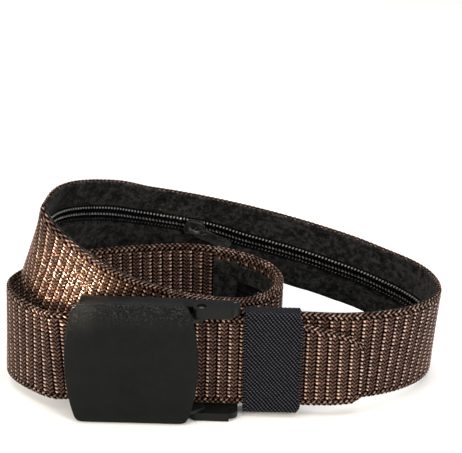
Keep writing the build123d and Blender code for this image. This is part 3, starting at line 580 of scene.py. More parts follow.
# painted highlight in specks along the lid's top, from 40 mm up
M_LID = plastic_material("buckle_plastic", (0.0044, 0.0047, 0.0049), (0.0080, 0.0085, 0.0087), spec=0.05, wear_and_highlight=(0.040, 0.055))
M_BASE = plastic_material("buckle_plastic_base", (0.0040, 0.0046, 0.0043), (0.0085, 0.0095, 0.0090), grain=1900.0, rough=0.34, spec=0.12)
M_SLIDER = metal_material("zip_metal", (0.0045, 0.0045, 0.005), (0.050, 0.050, 0.052), rough=0.26, metallic=0.45)
M_PIN = metal_material("pin_metal", (0.09, 0.09, 0.095), (0.32, 0.32, 0.33), rough=0.35, metallic=0.95)

# ------------------------------------------------------------------ webbing
U, V_ = 4.15, 1.62
CA, SA = math.cos(math.radians(35)), math.sin(math.radians(35))


def weave(u, v):
    """Height in mm, share of bright yarn and a number per yarn, at distance u
    along the strap and v across it: ribs of slanted beads beside ribs of
    chained loops, with a valley after each pair that the material paints dark
    as shade."""
    c = np.floor(u/U)
    x = u - c*U
    best, kind, r = np.zeros(u.shape), np.zeros(u.shape), np.full(u.shape, 0.5)

    def put(h, k, q):
        m = h > best
        best[m], kind[m], r[m] = h[m], k, q[m]

    jb = np.floor(v/V_)
    for dj in (-1, 0, 1):
        j = jb + dj
        q1, q2 = rnd(c, j, 1), rnd(c, j, 2)
        dv = v - (j + 0.5)*V_ - (q1 - 0.5)*0.18
        dx = x - 0.80 - (q2 - 0.5)*0.16
        p, q = (dx*CA - dv*SA)/0.72, (dx*SA + dv*CA)/0.47
        put((0.50 + 0.08*q1)*np.sqrt(np.clip(1 - p*p - q*q, 0, 1)), 1.0, q2)
        # the two legs of a loop, leaning in to meet below the middle
        for sgn in (-1, 1):
            cx = 2.62 + sgn*0.72 - (q1 - 0.5)*0.10
            ex, ey = x - cx, v - (j + 0.5)*V_ - 0.12 - (q2 - 0.5)*0.16
            t = math.radians(46)
            p, q = (ex*math.cos(t) + sgn*ey*math.sin(t))/0.98, (-sgn*ex*math.sin(t) + ey*math.cos(t))/0.46
            put((0.36 + 0.07*q2)*np.sqrt(np.clip(1 - p*p - q*q, 0, 1)), 0.10, q1)
        p, q = (x - 2.62)/0.30, (v - (j + 1.0)*V_ - 0.10)/0.40
        put(0.36*np.sqrt(np.clip(1 - p*p - q*q, 0, 1)), 0.45, q2)
    return best, kind, r


def selvage(u, e):
    """The same where the yarns turn round the strap's edge, e mm from it:
    short strokes in rows that lean alternately, like a plait."""
    P = U/2
    best, kind, r = np.zeros(u.shape), np.zeros(u.shape), np.full(u.shape, 0.5)
    kb = np.floor(u/P)
    ae = np.abs(e)
    for row, (c, lean) in enumerate(((0.0, 0.55), (1.22, -0.62), (2.35, 0.62))):
        for dk in (-1, 0, 1, 2):
            k = kb + dk
            q2 = rnd(k, 5 + row, 7)
            d = (e if row == 0 else ae - c)
            p = d/0.74
            q = (u - (k + 0.5*(row % 2))*P - lean*d - (q2 - 0.5)*0.2)/0.60
            h = (0.36 + 0.08*q2)*np.sqrt(np.clip(1 - p*p - q*q, 0, 1))
            m = h > best
            best[m], kind[m], r[m] = h[m], (0.20 + 0.55*q2)[m], q2[m]
    return best, kind, r


# how far the ribs lean where the strap climbs over itself
LEAN = [(0, 0), (299, 0), (304, 0.03), (311, 0.10), (319, 0.22), (326, 0.32), (333, 0.37), (341, 0.335), (349, 0.265), (357, 0.19), (365, 0.13), (373, 0.08), (381, 0.04), (392, 0), (900, 0)]


def strap(name, path, a0, a1, limits, n_out, n_in, nf_out, nf_in, du=0.31):
    K = int(round((a1 - a0)/du)) + 1
    A = np.linspace(a0, a1, K)
    P, W, T, N = path.frame(A)
    wl, wt = limits(A)
    r, nc = (n_in - n_out)/2, (n_in + n_out)/2
    arc = 7
    th = (np.arange(arc) + 0.5)/arc*math.pi
    if nf_in > 30:
        fin = (np.arange(nf_in) + 0.5)/nf_in
    else:
        k = np.linspace(0, 1, nf_in)
        fin = 0.5 - 0.5*np.sign(1 - 2*k)*np.abs(1 - 2*k)**0.35
        fin = 0.5 + (fin - 0.5)*0.985
    fout = (np.arange(nf_out) + 0.5)/nf_out
    L = (wt - wl - 2*r)[:, None]
    cols = []
    one = np.ones((K, 1))
    # outer face, upper edge, inner face, lower edge: w, n, normal, distance round the edge
    w = wl[:, None] + r + fout[None]*L
    cols.append((w, n_out*one + 0*w, 0*w, -one + 0*w, np.minimum(w - wl[:, None] - r, wt[:, None] - r - w) + r*math.pi/2))
    ph = th - math.pi/2
    w = (wt[:, None] - r) + r*np.cos(ph)[None]
    cols.append((w, nc + r*np.sin(ph)[None] + 0*w, np.cos(ph)[None] + 0*w, np.sin(ph)[None] + 0*w, r*ph[None] + 0*w))
    w = wt[:, None] - r - fin[None]*L
    cols.append((w, n_in*one + 0*w, 0*w, one + 0*w, np.minimum(w - wl[:, None] - r, wt[:, None] - r - w) + r*math.pi/2))
    ph = th + math.pi/2
    w = (wl[:, None] + r) + r*np.cos(ph)[None]
    cols.append((w, nc + r*np.sin(ph)[None] + 0*w, np.cos(ph)[None] + 0*w, np.sin(ph)[None] + 0*w, r*(ph - math.pi)[None] + 0*w))
    w, n, nw, nn, e = [np.concatenate([c[i] for c in cols], 1) for i in range(5)]
    u = A[:, None] + 0*w
    lean = np.interp(u, *zip(*LEAN))
    pack = np.interp(u, (0, 302, 308, 340, 350, 900), (0, 0, 1.2, 14.4, 16.6, 16.6))
    h1, k1, r1 = weave(u + pack + lean*np.clip(w - 10.0, -26.0, 9.0), w)
    r1 = r1 + 1.7*np.exp(-((u - 333)/9.0)**2)          # painted highlight: yarn colour brightened on the bend where the light falls
    h2, k2, r2 = selvage(u, e)
    s = step(2.75, 3.05, np.abs(e))
    h, k, q = h1*s + h2*(1 - s), np.where(s > 0.5, k1, k2), np.where(s > 0.5, r1, r2)
    d = h - 0.40
    G = P[:, None] + (w + nw*d)[..., None]*W[:, None] + (n + nn*d)[..., None]*N[:, None]
    at = np.stack([np.clip(h/0.5, 0, 1), k, q], -1)
    ob = tube(name, G, {"weave": at}, mat=M_WEB, slot="webbing_brown")
    return ob


def full(A):
    return -HALF - 1.9*np.exp(-((A - 260)/10.0)**2), np.full(A.shape, HALF)


TIP = TAIL[-1][0]
TIP_TOP = [(-52.0, 19.0), (-40.0, 18.7), (-30.0, 17.7), (-21.5, 15.8), (-16.5, 14.7), (-11.5, 13.4), (-7.5, 12.0), (-3.5, 9.9), (0.0, 6.4)]
TIP_LOW = [(-52.0, -19.0), (-7.5, -19.0), (-3.5, -18.8), (0.0, -16.4)]


def tip(A):
    x = A - TIP
    return np.interp(x, *zip(*TIP_LOW)), np.interp(x, *zip(*TIP_TOP))


cuts = [STRAP[0][0], U*36, U*74, A_END]
for i, (c0, c1) in enumerate(zip(cuts, cuts[1:])):
    strap("pocket_webbing_%d" % (i + 1), POCKET, c0, c1, full, WEB_OUT, WEB_IN, 128, 22)
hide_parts("pocket_webbing")
cuts = [A_OVER, U*110, U*131, 631.9, TIP]
for i, (c0, c1) in enumerate(zip(cuts, cuts[1:])):
    strap("tail_webbing_%d" % (i + 1), TAILP, c0, c1, tip, -TAIL_HALF, TAIL_HALF, 124, 124)
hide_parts("tail_webbing")


# ------------------------------------------------- lining, patches and tapes
def ribbon(name, a0, a1, du, lo, hi, nw, front, back, mat, slot, node):
    """A sewn strip on the pocket's inner face, between the edges lo(a) and
    hi(a).  front(a, w) and back are how far its two faces stand from the route."""
    K = int(round((a1 - a0)/du)) + 1
    A = np.linspace(a0, a1, K)
    P, W, T, N = POCKET.frame(A)
    w0, w1 = lo(A)[:, None], hi(A)[:, None]
    k = np.linspace(0, 1, nw)[None]
    w2 = w0 + (w1 - w0)*k
    a2 = A[:, None] + 0*w2
    f = front(a2, w2)
    end = np.minimum(np.minimum(a2 - a0, a1 - a2), np.minimum(w2 - w0, w1 - w2))
    f = back + (f - back)*(0.45 + 0.55*np.sqrt(np.clip(1 - (1 - np.clip(end/0.5, 0, 1))**2, 0, 1)))
    front_pts = P[:, None] + w2[..., None]*W[:, None] + f[..., None]*N[:, None]
    wb = w2[:, ::-1]
    back_pts = P[:, None] + wb[..., None]*W[:, None] + back*N[:, None]
    G = np.concatenate([front_pts, back_pts], 1)
    wall = np.concatenate([w2, wb], 1)
    at = np.stack([np.concatenate([a2, a2], 1), wall, 0*wall], -1)
    ob = tube(name, G, {"cloth": at}, mat=mat, slot=slot)
    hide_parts(node)
    return ob


def edge(w):
    return lambda a: 0*a + w


LA0, LA1 = A_LINE1, A_END - PATCH - 0.2


def upper_top(a):
    return 18.6 - 4.6*step(394, 414, a)


def lower_low(a):
    return -18.3 - 1.8*np.exp(-((a - 260)/10.0)**2)


def upper_front(a, w):
    m, t = mid(a), upper_top(a)
    f = 1.02 + 0.10*wander(a, w, 3, 26.0) + 0.05*wander(a, w*1.4, 4, 7.0)
    f += 0.30*np.exp(-((w - m - ZIP_UP - 0.5)/0.55)**2)         # turned edge beside the zip
    f -= 0.22*np.exp(-((w - m - ZIP_UP - 1.6)/0.22)**2)*(0.65 + 0.35*np.cos(2*math.pi*a/2.6))   # its stitch line
    f += 0.16*np.exp(-((w - t + 0.5)/0.5)**2)
    f -= 0.20*np.exp(-((w - t + 1.5)/0.22)**2)*(0.65 + 0.35*np.cos(2*math.pi*a/2.6))
    f += 0.05*np.sin(2*math.pi*(a + 0.6*w)/3.4)*np.exp(-((w - m - ZIP_UP - 2.7)/1.2)**2)
    return f


def lower_front(a, w):
    m = mid(a)
    f = 1.02 + 0.14*wander(a, w, 13, 22.0) + 0.06*wander(a, w*1.4, 14, 7.0)
    f += 0.62*np.exp(-((w - m + ZIP_DOWN + 0.75)/0.75)**2)
    f -= 0.22*np.exp(-((w - m + ZIP_DOWN + 2.3)/0.22)**2)*(0.65 + 0.35*np.cos(2*math.pi*a/2.6))
    f += 0.16*np.exp(-((w + 17.6)/0.5)**2)
    f += 0.06*np.sin(2*math.pi*(a - 0.6*w)/3.8)*np.exp(-((w - m + ZIP_DOWN + 3.4)/1.4)**2)
    return f


ribbon("lining_upper_cloth", LA0, LA1, 0.8, lambda a: mid(a) + ZIP_UP, upper_top, 52, upper_front, 0.34, M_LINE, "lining_black", "lining_upper")
ribbon("lining_lower_cloth", LA0, LA1, 0.8, lower_low, lambda a: mid(a) - ZIP_DOWN, 52, lower_front, 0.34, M_LINE, "lining_black", "lining_lower")


def tape_front(a, w):
    return 0.70 + 0.05*np.cos(2*math.pi*w/0.8) + 0.03*np.cos(2*math.pi*a/1.5)


ribbon("zip_tape_upper_cloth", LA0, LA1, 0.75, lambda a: mid(a) + 0.1, lambda a: mid(a) + ZIP_UP + 0.15, 20, tape_front, 0.32, M_TAPE, "zip_tape", "zip_tape_upper")
ribbon("zip_tape_lower_cloth", LA0, LA1, 0.75, lambda a: mid(a) - ZIP_DOWN - 0.15, lambda a: mid(a) - 0.1, 20, tape_front, 0.32, M_TAPE, "zip_tape", "zip_tape_lower")


def patch_front(a, w):
    rows = np.abs(((w + 17.5)/5.0) % 1.0 - 0.5)*2          # 1 on a stitch row, 0 midway
    return 1.20 - 0.26*rows**3 + 0.05*wander(a, w, 23, 5.0)


ribbon("end_patch_buckle", A_LINE0, A_LINE1 - 0.2, 0.3, edge(-18.3), edge(17.3), 100, patch_front, 0.34, M_PATCH, "lining_black", "lining_patch_buckle_end")
ribbon("end_patch_far", A_END - PATCH, A_END - 0.1, 0.3, edge(-18.3), edge(14.8), 100, patch_front, 0.34, M_PATCH, "lining_black", "lining_patch_far_end")


# -------------------------------------------------------------- sewn thread
def stitches(path, a0, a1, w, n, pitch, r, slant=0.0):
    """Capsule stitches on a row along the strap."""
    out, k = [], max(1, int(round((a1 - a0)/pitch)))
    for i in range(k):
        s0, s1 = a0 + (a1 - a0)*(i + 0.08)/k, a0 + (a1 - a0)*(i + 0.92)/k
        t = np.linspace(0, 1, 7)
        aa = s0 + (s1 - s0)*t
        P, W, T, N = path.frame(aa)
        dip = -0.20*np.abs(2*t - 1)**4*np.sign(n)
        pts = P + ((w(aa) if callable(w) else w) + slant*(2*t - 1))[:, None]*W + (n + dip)[:, None]*N
        rr = r*np.sqrt(np.clip(1 - np.abs(2*t - 1)**6*0.85, 0.05, 1))
        out.append(rod(pts, rr, 7, up=N, squash=0.75))
    return out


def yarn_attr(tubes, hi=0.9):
    n = sum(g.shape[0]*g.shape[1] for g in tubes)
    q, i = np.zeros((n, 3)), 0
    for g in tubes:
        m = g.shape[0]*g.shape[1]
        # painted highlight: one side of each thread's round section is lighter than the other
        th = np.sin(np.arange(g.shape[1])*2*math.pi/g.shape[1])*0.25 + 0.75
        q[i:i + m, 0] = np.tile(th, g.shape[0])*hi
        q[i:i + m, 2] = rnd(i, 3)[0]
        i += m
    return {"weave": q}


rows = []
for w in (-15.0, -10.0, -5.0, 0.0, 5.0, 10.0, 13.6):
    rows += stitches(POCKET, A_END - PATCH + 1.0, A_END - 1.2, w, 1.14, 2.2, 0.23)
thread_end = many_tubes("end_patch_thread", rows, yarn_attr(rows), mat=M_THREAD_K, slot="thread")
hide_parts("overlap_stitching")
rows = []
for w in (-15.0, -9.0, -3.0, 3.0, 9.0, 15.0):
    rows += stitches(TAILP, A_OVER + 2.0, A_OVER + 10.0, w, -TAIL_HALF - 0.22, 2.6, 0.26)
many_tubes("tail_start_thread", rows, yarn_attr(rows), mat=M_THREAD_B, slot="thread")
rows = []
for w in (-15.0, -10.0, -5.0, 0.0, 5.0, 10.0, 15.0):
    rows += stitches(POCKET, A_LINE0 + 1.0, A_LINE1 - 1.2, w, 1.14, 2.2, 0.23)
many_tubes("buckle_patch_thread", rows, yarn_attr(rows), mat=M_THREAD_K, slot="thread")
rows = stitches(POCKET, LA0 + 1, LA1 - 1, lambda a: mid(a) + ZIP_UP + 1.6, 1.02, 2.6, 0.16) + stitches(POCKET, LA0 + 1, LA1 - 1, lambda a: upper_top(a) - 1.5, 1.0, 2.6, 0.16)
rows += stitches(POCKET, LA0 + 1, LA1 - 1, lambda a: mid(a) - ZIP_DOWN - 2.3, 1.02, 2.6, 0.16)
many_tubes("lining_thread", rows, yarn_attr(rows, 0.7), mat=M_THREAD_K, slot="thread")


# ---------------------------------------------------------------- zip coils
PITCH = 1.5


def coil(name, side, node):
    """A flattened helix of monofilament, thickened into heads where the two
    coils lock together."""
    a0, a1 = A_COIL0, A_END - COIL_END
    turns = int((a1 - a0)/PITCH)
    seg, sides = 18, 8
    i = np.arange(turns*seg + 1)
    th = 2*math.pi*i/seg
    aa = a0 + PITCH*(i/seg) + (PITCH/2 if side < 0 else 0)
    c, s = np.cos(th), np.sin(th)
    # c = +1 is the outer edge of the coil, -1 the heads at the middle
    reach = 3.35 if side > 0 else 2.45
    wc = mid(aa) + side*(reach/2 + 0.02 + (reach/2 - 0.02)*c)
    nc = 1.52 + 0.40*s
    head, outer = np.exp(-((c + 1)/0.22)**2), np.exp(-((c - 1)/0.22)**2)
    r = 0.235 + (0.24 if side > 0 else 0.12)*head + (0.14 if side > 0 else 0.05)*outer
    nc = nc + (0.34 if side > 0 else 0.04)*head + (0.26 if side > 0 else 0.12)*outer
    P, W, T, N = POCKET.frame(np.minimum(aa, a1))
    pts = P + wc[:, None]*W + nc[:, None]*N
    G = rod(pts, r, sides, up=T)
    # painted highlight on the heads and outer bends; the lower coil is painted dimmer, as shade
    h = 0.16 + (0.80*head + 0.84*outer if side > 0 else 0.10*head + 0.74*outer)
    at = np.stack([h[:, None] + 0*G[..., 0], 0*G[..., 0], rnd(i//seg, 3)[:, None] + 0*G[..., 0]], -1)
    ob = tube(name, G, {"weave": at}, mat=M_COIL, slot="zip_coil")
    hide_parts(node)
    return ob


coil("zip_coil_upper_wire", 1, "zip_coil_upper")
coil("zip_coil_lower_wire", -1, "zip_coil_lower")


# --------------------------------------------------- moulded and metal parts
def prism(bm, outline, z0, z1, bevel, seg=2, mat=Matrix.Identity(4)):
    """A rounded-edge block on a closed outline, added to bm."""
    new = bmesh.new()
    vs = [new.verts.new((x, y, z0)) for x, y in outline]
    f = new.faces.new(vs)
    if (f.normal if f.normal.length else Vector((0, 0, 1))).z > 0:
        f.normal_flip()
    ext = bmesh.ops.extrude_face_region(new, geom=[f])
    bmesh.ops.translate(new, verts=[g for g in ext["geom"] if isinstance(g, bmesh.types.BMVert)], vec=(0, 0, z1 - z0))
    bmesh.ops.recalc_face_normals(new, faces=new.faces[:])
    if bevel:
        sharp = [e for e in new.edges if e.is_manifold and e.calc_face_angle(0) > math.radians(25)]
        bmesh.ops.bevel(new, geom=sharp, offset=bevel, segments=seg, profile=0.5, affect="EDGES", clamp_overlap=True)
    bmesh.ops.transform(new, matrix=mat, verts=new.verts[:])
    me = bpy.data.meshes.new("tmp")
    new.to_mesh(me)
    new.free()
    bm.from_mesh(me)
    bpy.data.meshes.remove(me)


def rounded(x0, x1, y0, y1, r, n=5):
    out = []
    for cx, cy, s in ((x1 - r, y0 + r, -90), (x1 - r, y1 - r, 0), (x0 + r, y1 - r, 90), (x0 + r, y0 + r, 180)):
        for k in range(n + 1):
            t = math.radians(s + 90*k/n)
            out.append((cx + r*math.cos(t), cy + r*math.sin(t)))
    return out


def finish_bm(name, bm, mat, body, nodes=(), smooth=True, angle=35):
    bmesh.ops.scale(bm, vec=(MM, MM, MM), verts=bm.verts[:])
    me = bpy.data.meshes.new(name)
    bm.to_mesh(me)
    bm.free()
    ob = bpy.data.objects.new(name, me)
    bpy.context.scene.collection.objects.link(ob)
    me.materials.append(mat)
    me.polygons.foreach_set("use_smooth", np.ones(len(me.polygons), dtype=bool))
    me.update()
    if hasattr(me, "set_sharp_from_angle"):
        me.set_sharp_from_angle(angle=math.radians(angle))
    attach(ob, body)
    if nodes:
        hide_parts(*nodes)
    return ob


def strap_matrix(path, a, w=0.0):
    P, W, T, N = [v[0] for v in path.frame(np.array([a]))]
    m = Matrix.Identity(4)
    for i in range(3):
        m[i][0], m[i][1], m[i][2], m[i][3] = W[i], T[i], N[i], P[i]
    return m


# stops at the two ends of the coils
bm = bmesh.new()
for a in (A_COIL0 - 0.95, A_END - COIL_END + 0.95):
    m = strap_matrix(POCKET, a)
    STOP_W = float(mid(a))
    prism(bm, rounded(STOP_W - 2.2, STOP_W + 2.2, -0.7, 0.7, 0.45), 0.75, 2.15, 0.3, 3, m)
finish_bm("zip_stop_clips", bm, M_SLIDER, "belt", ["zip_stops"])

# slider
S0 = strap_matrix(POCKET, A_SLIDER)
ZIP_MID = 2.85
bm = bmesh.new()
body_line = []
for t in np.linspace(0, 2*math.pi, 44, endpoint=False):
    c, s = math.cos(t), math.sin(t)
    px = 3.55*math.copysign(abs(c)**0.62, c)*(1.0 + 0.09*s)
    py = 4.35*math.copysign(abs(s)**0.72, s)
    body_line.append((ZIP_MID + px, py))
prism(bm, body_line, 2.35, 3.15, 0.28, 3, S0)
for sx in (-1, 1):
    prism(bm, rounded(*sorted((ZIP_MID + sx*2.45, ZIP_MID + sx*3.5)), -3.3, 3.3, 0.5), 1.35, 2.6, 0.2, 2, S0)
parts_rod = []
t = np.linspace(0, math.pi, 17)
arch = np.stack([0*t + ZIP_MID, -2.35*np.cos(t)*np.abs(np.cos(t))**0.15, 3.0 + 2.25*np.sin(t)**0.8], -1)
G = rod(arch, 0.62, 12, up=(1.0, 0.0, 0.0), squash=1.25)
R = np.array(S0)[:3, :3]
o = np.array(S0)[:3, 3]
arch_g = G@R.T + o
V0, F0 = arch_g.reshape(-1, 3), tube_faces(*arch_g.shape[:2])
vs = [bm.verts.new(v) for v in V0]
flip = volume(V0, F0) < 0
for f in F0:
    f = f[::-1] if flip else f
    bm.faces.new([vs[i] for i in f])
M12 = arch_g.shape[1]
bm.faces.new([vs[i] for i in (range(M12) if flip else range(M12 - 1, -1, -1))])
K12 = (arch_g.shape[0] - 1)*M12
bm.faces.new([vs[K12 + i] for i in (range(M12 - 1, -1, -1) if flip else range(M12))])
prism(bm, rounded(ZIP_MID - 0.5, ZIP_MID + 0.5, -3.9, -2.9, 0.3), 3.1, 3.45, 0.12, 2, S0)
finish_bm("zip_slider_body", bm, M_SLIDER, "slider", ["zip_slider"])

# pull: a bar through the arch, two legs and a flat tab with a raised rim
PULL = S0@Matrix.Translation((ZIP_MID, 0, 3.9))@Matrix.Rotation(math.radians(-18 + 180), 4, "Z")
bm = bmesh.new()
tab = rounded(-2.5, 2.5, 3.4, 17.8, 1.4, 6)
prism(bm, tab, -0.36, 0.36, 0.2, 3, PULL)
hole_ring = []
t = np.linspace(0, 2*math.pi, 41)
ring_g = rod(np.stack([1.9*np.cos(t)*0.92, 13.9 + 2.9*np.sin(t), 0*t + 0.36], -1), 0.16, 7, up=(0.0, 0.0, 1.0))


def add_grid(bm, g, mat):
    R, o = np.array(mat)[:3, :3], np.array(mat)[:3, 3]
    g = g@R.T + o
    V0, F0 = g.reshape(-1, 3), tube_faces(*g.shape[:2])
    fl = volume(V0, F0) < 0
    vs = [bm.verts.new(v) for v in V0]
    for f in F0:
        bm.faces.new([vs[i] for i in (f[::-1] if fl else f)])
    m, k = g.shape[1], (g.shape[0] - 1)*g.shape[1]
    bm.faces.new([vs[i] for i in (range(m) if fl else range(m - 1, -1, -1))])
    bm.faces.new([vs[k + i] for i in (range(m - 1, -1, -1) if fl else range(m))])


add_grid(bm, ring_g, PULL)
for x in (-2.1, 2.1):
    prism(bm, rounded(x - 0.42, x + 0.42, -0.4, 3.9, 0.3, 3), -0.42, 0.42, 0.15, 2, PULL)
add_grid(bm, rod(np.stack([np.linspace(-2.3, 2.3, 9), np.zeros(9), np.zeros(9)], -1), 0.42, 10), PULL)
for k in range(4):
    y = 6.2 + 1.3*k
    add_grid(bm, rod(np.stack([np.linspace(-1.5, 1.5, 7), np.full(7, y), np.full(7, 0.34)], -1), [0.05, 0.16, 0.18, 0.18, 0.18, 0.16, 0.05], 7), PULL)
finish_bm("zip_pull_tab", bm, M_SLIDER, "pull", ["zip_pull"])

# ------------------------------------------------------------------- buckle


LIDX0, LIDX1, LIDH, LIDY0, LIDY1 = -58.4, -8.6, 50.2, -50.9, -48.3
LC0, LC1 = LIDX0 + 3.8, LIDX1 - 4.2
PINX, PINY = -7.9, -44.07


def lid_outline():
    def arc(xa, xm, za, zb, n):
        # the circle through (xa, za), (xm, middle) and (xa, zb)
        h, s = (zb - za)/2, xm - xa
        R = (h*h + s*s)/(2*abs(s))
        cx = xm - math.copysign(R, s)
        th = math.asin(h/R)
        t = np.linspace(-th, th, n)
        return np.stack([cx + math.copysign(1, s)*R*np.cos(t), (za + zb)/2 + R*np.sin(t)], -1)
    n = 130
    bot = np.stack([np.linspace(LC0, LC1, n), np.zeros(n)], -1)
    top = np.stack([np.linspace(LC1, LC0, n), np.full(n, LIDH)], -1)
    right = arc(LC1, LIDX1, 0.0, LIDH, n)
    left = arc(LC0, LIDX0, 0.0, LIDH, n)[::-1]
    p = np.concatenate([bot[:-1], right[:-1], top[:-1], left[:-1]])
    for _ in range(44):
        p = 0.5*p + 0.25*(np.roll(p, 1, 0) + np.roll(p, -1, 0))
    return p


O = lid_outline()
NO = len(O)
cen = np.array([-33.6, LIDH/2])
prof = [(1.0, LIDY1), (0.25, LIDY1), (0.0, LIDY1 - 0.18), (0.0, -48.9), (0.0, -49.35)]
for t in np.linspace(0, math.pi/2, 7)[1:]:
    prof.append((0.62*(1 - math.cos(t)), -49.35 - 0.55*math.sin(t)))
for d in np.concatenate([np.linspace(0.9, 7.0, 16), np.linspace(8.2, 23.6, 12)]):
    prof.append((d, LIDY0 + 1.0*(1 - min(1.0, (d - 0.62)/7.0))**2.3))
rings = []
for d, y in prof:
    s = 1 - d/25.0
    q = cen + (O - cen)*s
    rings.append(np.stack([q[:, 0], np.full(NO, y), q[:, 1]], -1))
G = np.array(rings)
lid_cover = tube("lid_cover", G, mat=M_LID, body="lid", slot="buckle_plastic")
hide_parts("buckle_lid")
lid_cover.data.set_sharp_from_angle(angle=math.radians(50))


def bx(bm, x0, x1, y0, y1, z0, z1, bevel=0.25, seg=2):
    prism(bm, [(x0, y0), (x1, y0), (x1, y1), (x0, y1)], z0, z1, bevel, seg)


bm = bmesh.new()
back = LIDY1 - 0.3
for z0, z1 in ((0.45, 2.3), (LIDH - 2.3, LIDH - 0.45)):
    bx(bm, -52.4, -14.0, back, -41.65, z0, z1)
bx(bm, -56.0, -54.5, back, LIDY1 + 2.4, 6.0, LIDH - 6.0)
teeth = [(-11.6, back), (-11.6, -42.3), (-12.1, -42.2), (-12.55, -41.45), (-13.4, -42.2), (-13.9, -42.2), (-14.35, -41.45), (-15.2, -42.2), (-15.7, -42.2), (-16.15, -41.45), (-16.7, -42.1), (-17.0, -42.4), (-17.0, back)]
prism(bm, teeth[::-1], 5.6, 41.8, 0.12, 2)
ear = [(-14.5, back), (-11.4, back), (PINX + 1.5, PINY - 1.25)]
ear += [(PINX + 1.95*math.cos(t), PINY + 1.95*math.sin(t)) for t in np.linspace(-0.6, 1.75, 12)] + [(-14.5, PINY + 0.6)]
for z0, z1 in ((3.5, 4.9), (42.4, 43.8)):
    prism(bm, ear, z0, z1, 0.18, 2)
bx(bm, -17.0, -14.5, back, PINY + 0.6, 3.5, 43.8, 0.2)
for x in (-46.0, -37.0, -28.0):
    bx(bm, x - 0.5, x + 0.5, back, LIDY1 + 1.0, 2.0, LIDH - 2.0, 0.15)
finish_bm("lid_cam", bm, M_BASE, "lid")

for node, mt, wid in (("buckle_base", M_BASE, 0.28), ("clamp_jaw", M_BASE, 0.12), ("lid_pin", M_PIN, 0.15), ("jaw_pin", M_PIN, 0.12)):
    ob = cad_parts[node]
    ob.data.materials.clear()
    ob.data.materials.append(mt)
    md = ob.modifiers.new("soft_edge", "BEVEL")
    md.width, md.segments, md.limit_method, md.angle_limit = wid*MM, 2, "ANGLE", math.radians(40)
    md.harden_normals = False

# ------------------------------------------------------------------- keeper
KX0, KX1, KY0, KY1, KZ0, KZ1 = 8.1, 30.0, -43.0, -33.7, 1.2, 44.3


def loop_section(y0, y1, z0, z1, r, ds):
    """Rounded rectangle in (y, z) from the middle of the back, upward over the
    top and down the front, with outward normals and distance round it."""
    pts, nor = [], []

    def line(a, b, n):
        k = max(1, int(round(math.dist(a, b)/ds)))
        for i in range(k):
            pts.append((a[0] + (b[0] - a[0])*i/k, a[1] + (b[1] - a[1])*i/k))
            nor.append(n)

    def bend(c, t0, t1):
        k = max(3, int(round(r*abs(t1 - t0)/ds)))
        for i in range(k):
            t = t0 + (t1 - t0)*i/k
            pts.append((c[0] + r*math.cos(t), c[1] + r*math.sin(t)))
            nor.append((math.cos(t), math.sin(t)))

    line((y1, (z0 + z1)/2), (y1, z1 - r), (1, 0))
    bend((y1 - r, z1 - r), 0, math.pi/2)
    line((y1 - r, z1), (y0 + r, z1), (0, 1))
    bend((y0 + r, z1 - r), math.pi/2, math.pi)
    line((y0, z1 - r), (y0, z0 + r), (-1, 0))
    bend((y0 + r, z0 + r), math.pi, 1.5*math.pi)
    line((y0 + r, z0), (y1 - r, z0), (0, -1))
    bend((y1 - r, z0 + r), 1.5*math.pi, 2*math.pi)
    line((y1, z0 + r), (y1, (z0 + z1)/2), (1, 0))
    p, n = np.array(pts), np.array(nor, float)
    s = np.concatenate([[0], np.cumsum(np.linalg.norm(np.diff(p, axis=0), axis=1))])
    return p, n, s


def twill(x, s):
    """Diagonal cords of covered rubber: down to the right on the front."""
    ph = math.radians(50)
    q = x*math.sin(ph) - s*math.cos(ph)
    r = x*math.cos(ph) + s*math.sin(ph)
    q = q + 0.07*np.sin(r*0.9)
    k = np.floor(q/1.18 + 0.5)
    cord = np.sqrt(np.clip(1 - ((q/1.18 - k)/0.44)**2, 0, 1))
    nub = 0.5 + 0.5*np.cos(2*math.pi*(r/0.98 + 0.18*k))
    return cord*(0.62 + 0.38*nub)


p, n, s = loop_section(KY0, KY1, KZ0, KZ1, 1.9, 0.25)
KX = np.linspace(KX0, KX1, 92)
edge = np.minimum(KX - KX0, KX1 - KX)
X2, S2 = KX[:, None] + 0*s[None], 0*KX[:, None] + s[None]
h = twill(X2, S2)
rim = step(1.15, 0.75, edge)[:, None]
chain = 0.55 + 0.45*np.cos(2*math.pi*S2/1.1 + 3*edge[:, None])
h = h*(1 - rim) + chain*rim
roll = np.sqrt(np.clip(1 - (1 - np.clip(edge/0.55, 0, 1))**2, 0, 1))[:, None]
d = -0.22 + 0.24*h
d = d*roll - 0.50*(1 - roll)
wavy = 0.10*wander(X2, S2, 31, 22.0)
# the top falls away towards the back, and the right edge draws in at the corners
zz = p[None, :, 1] + 0*X2
yy = p[None, :, 0] + 0*X2
sag = -0.16*np.clip(yy - KY0 - 1.9, 0, 9)*step(40.0, 43.0, zz)
draw = -1.3*step(3.5, 0.0, KX1 - X2)*(np.exp(-((zz - KZ1)/2.6)**2)*0.9 + np.exp(-((zz - KZ0)/2.2)**2))
X2 = X2 + draw*step(KX0 + 12, KX1, X2)
outer = np.stack([X2 + 0.12*np.sin(S2/9.0), p[None, :, 0] + n[None, :, 0]*(d + wavy*0.4), p[None, :, 1] + n[None, :, 1]*(d + wavy*0.4) + sag], -1)
thick = 1.15
inner_d = -thick + 0.50*(1 - roll)*0.6
inner = np.stack([X2 + 0.12*np.sin(S2/9.0), p[None, :, 0] + n[None, :, 0]*inner_d, p[None, :, 1] + n[None, :, 1]*inner_d + sag], -1)
K, M = X2.shape
V0 = np.concatenate([outer.reshape(-1, 3), inner.reshape(-1, 3)])
i, j = np.arange(K - 1)[:, None], np.arange(M)[None, :]
k = (j + 1) % M
fo = np.stack([i*M + j, i*M + k, (i + 1)*M + k, (i + 1)*M + j], -1).reshape(-1, 4)
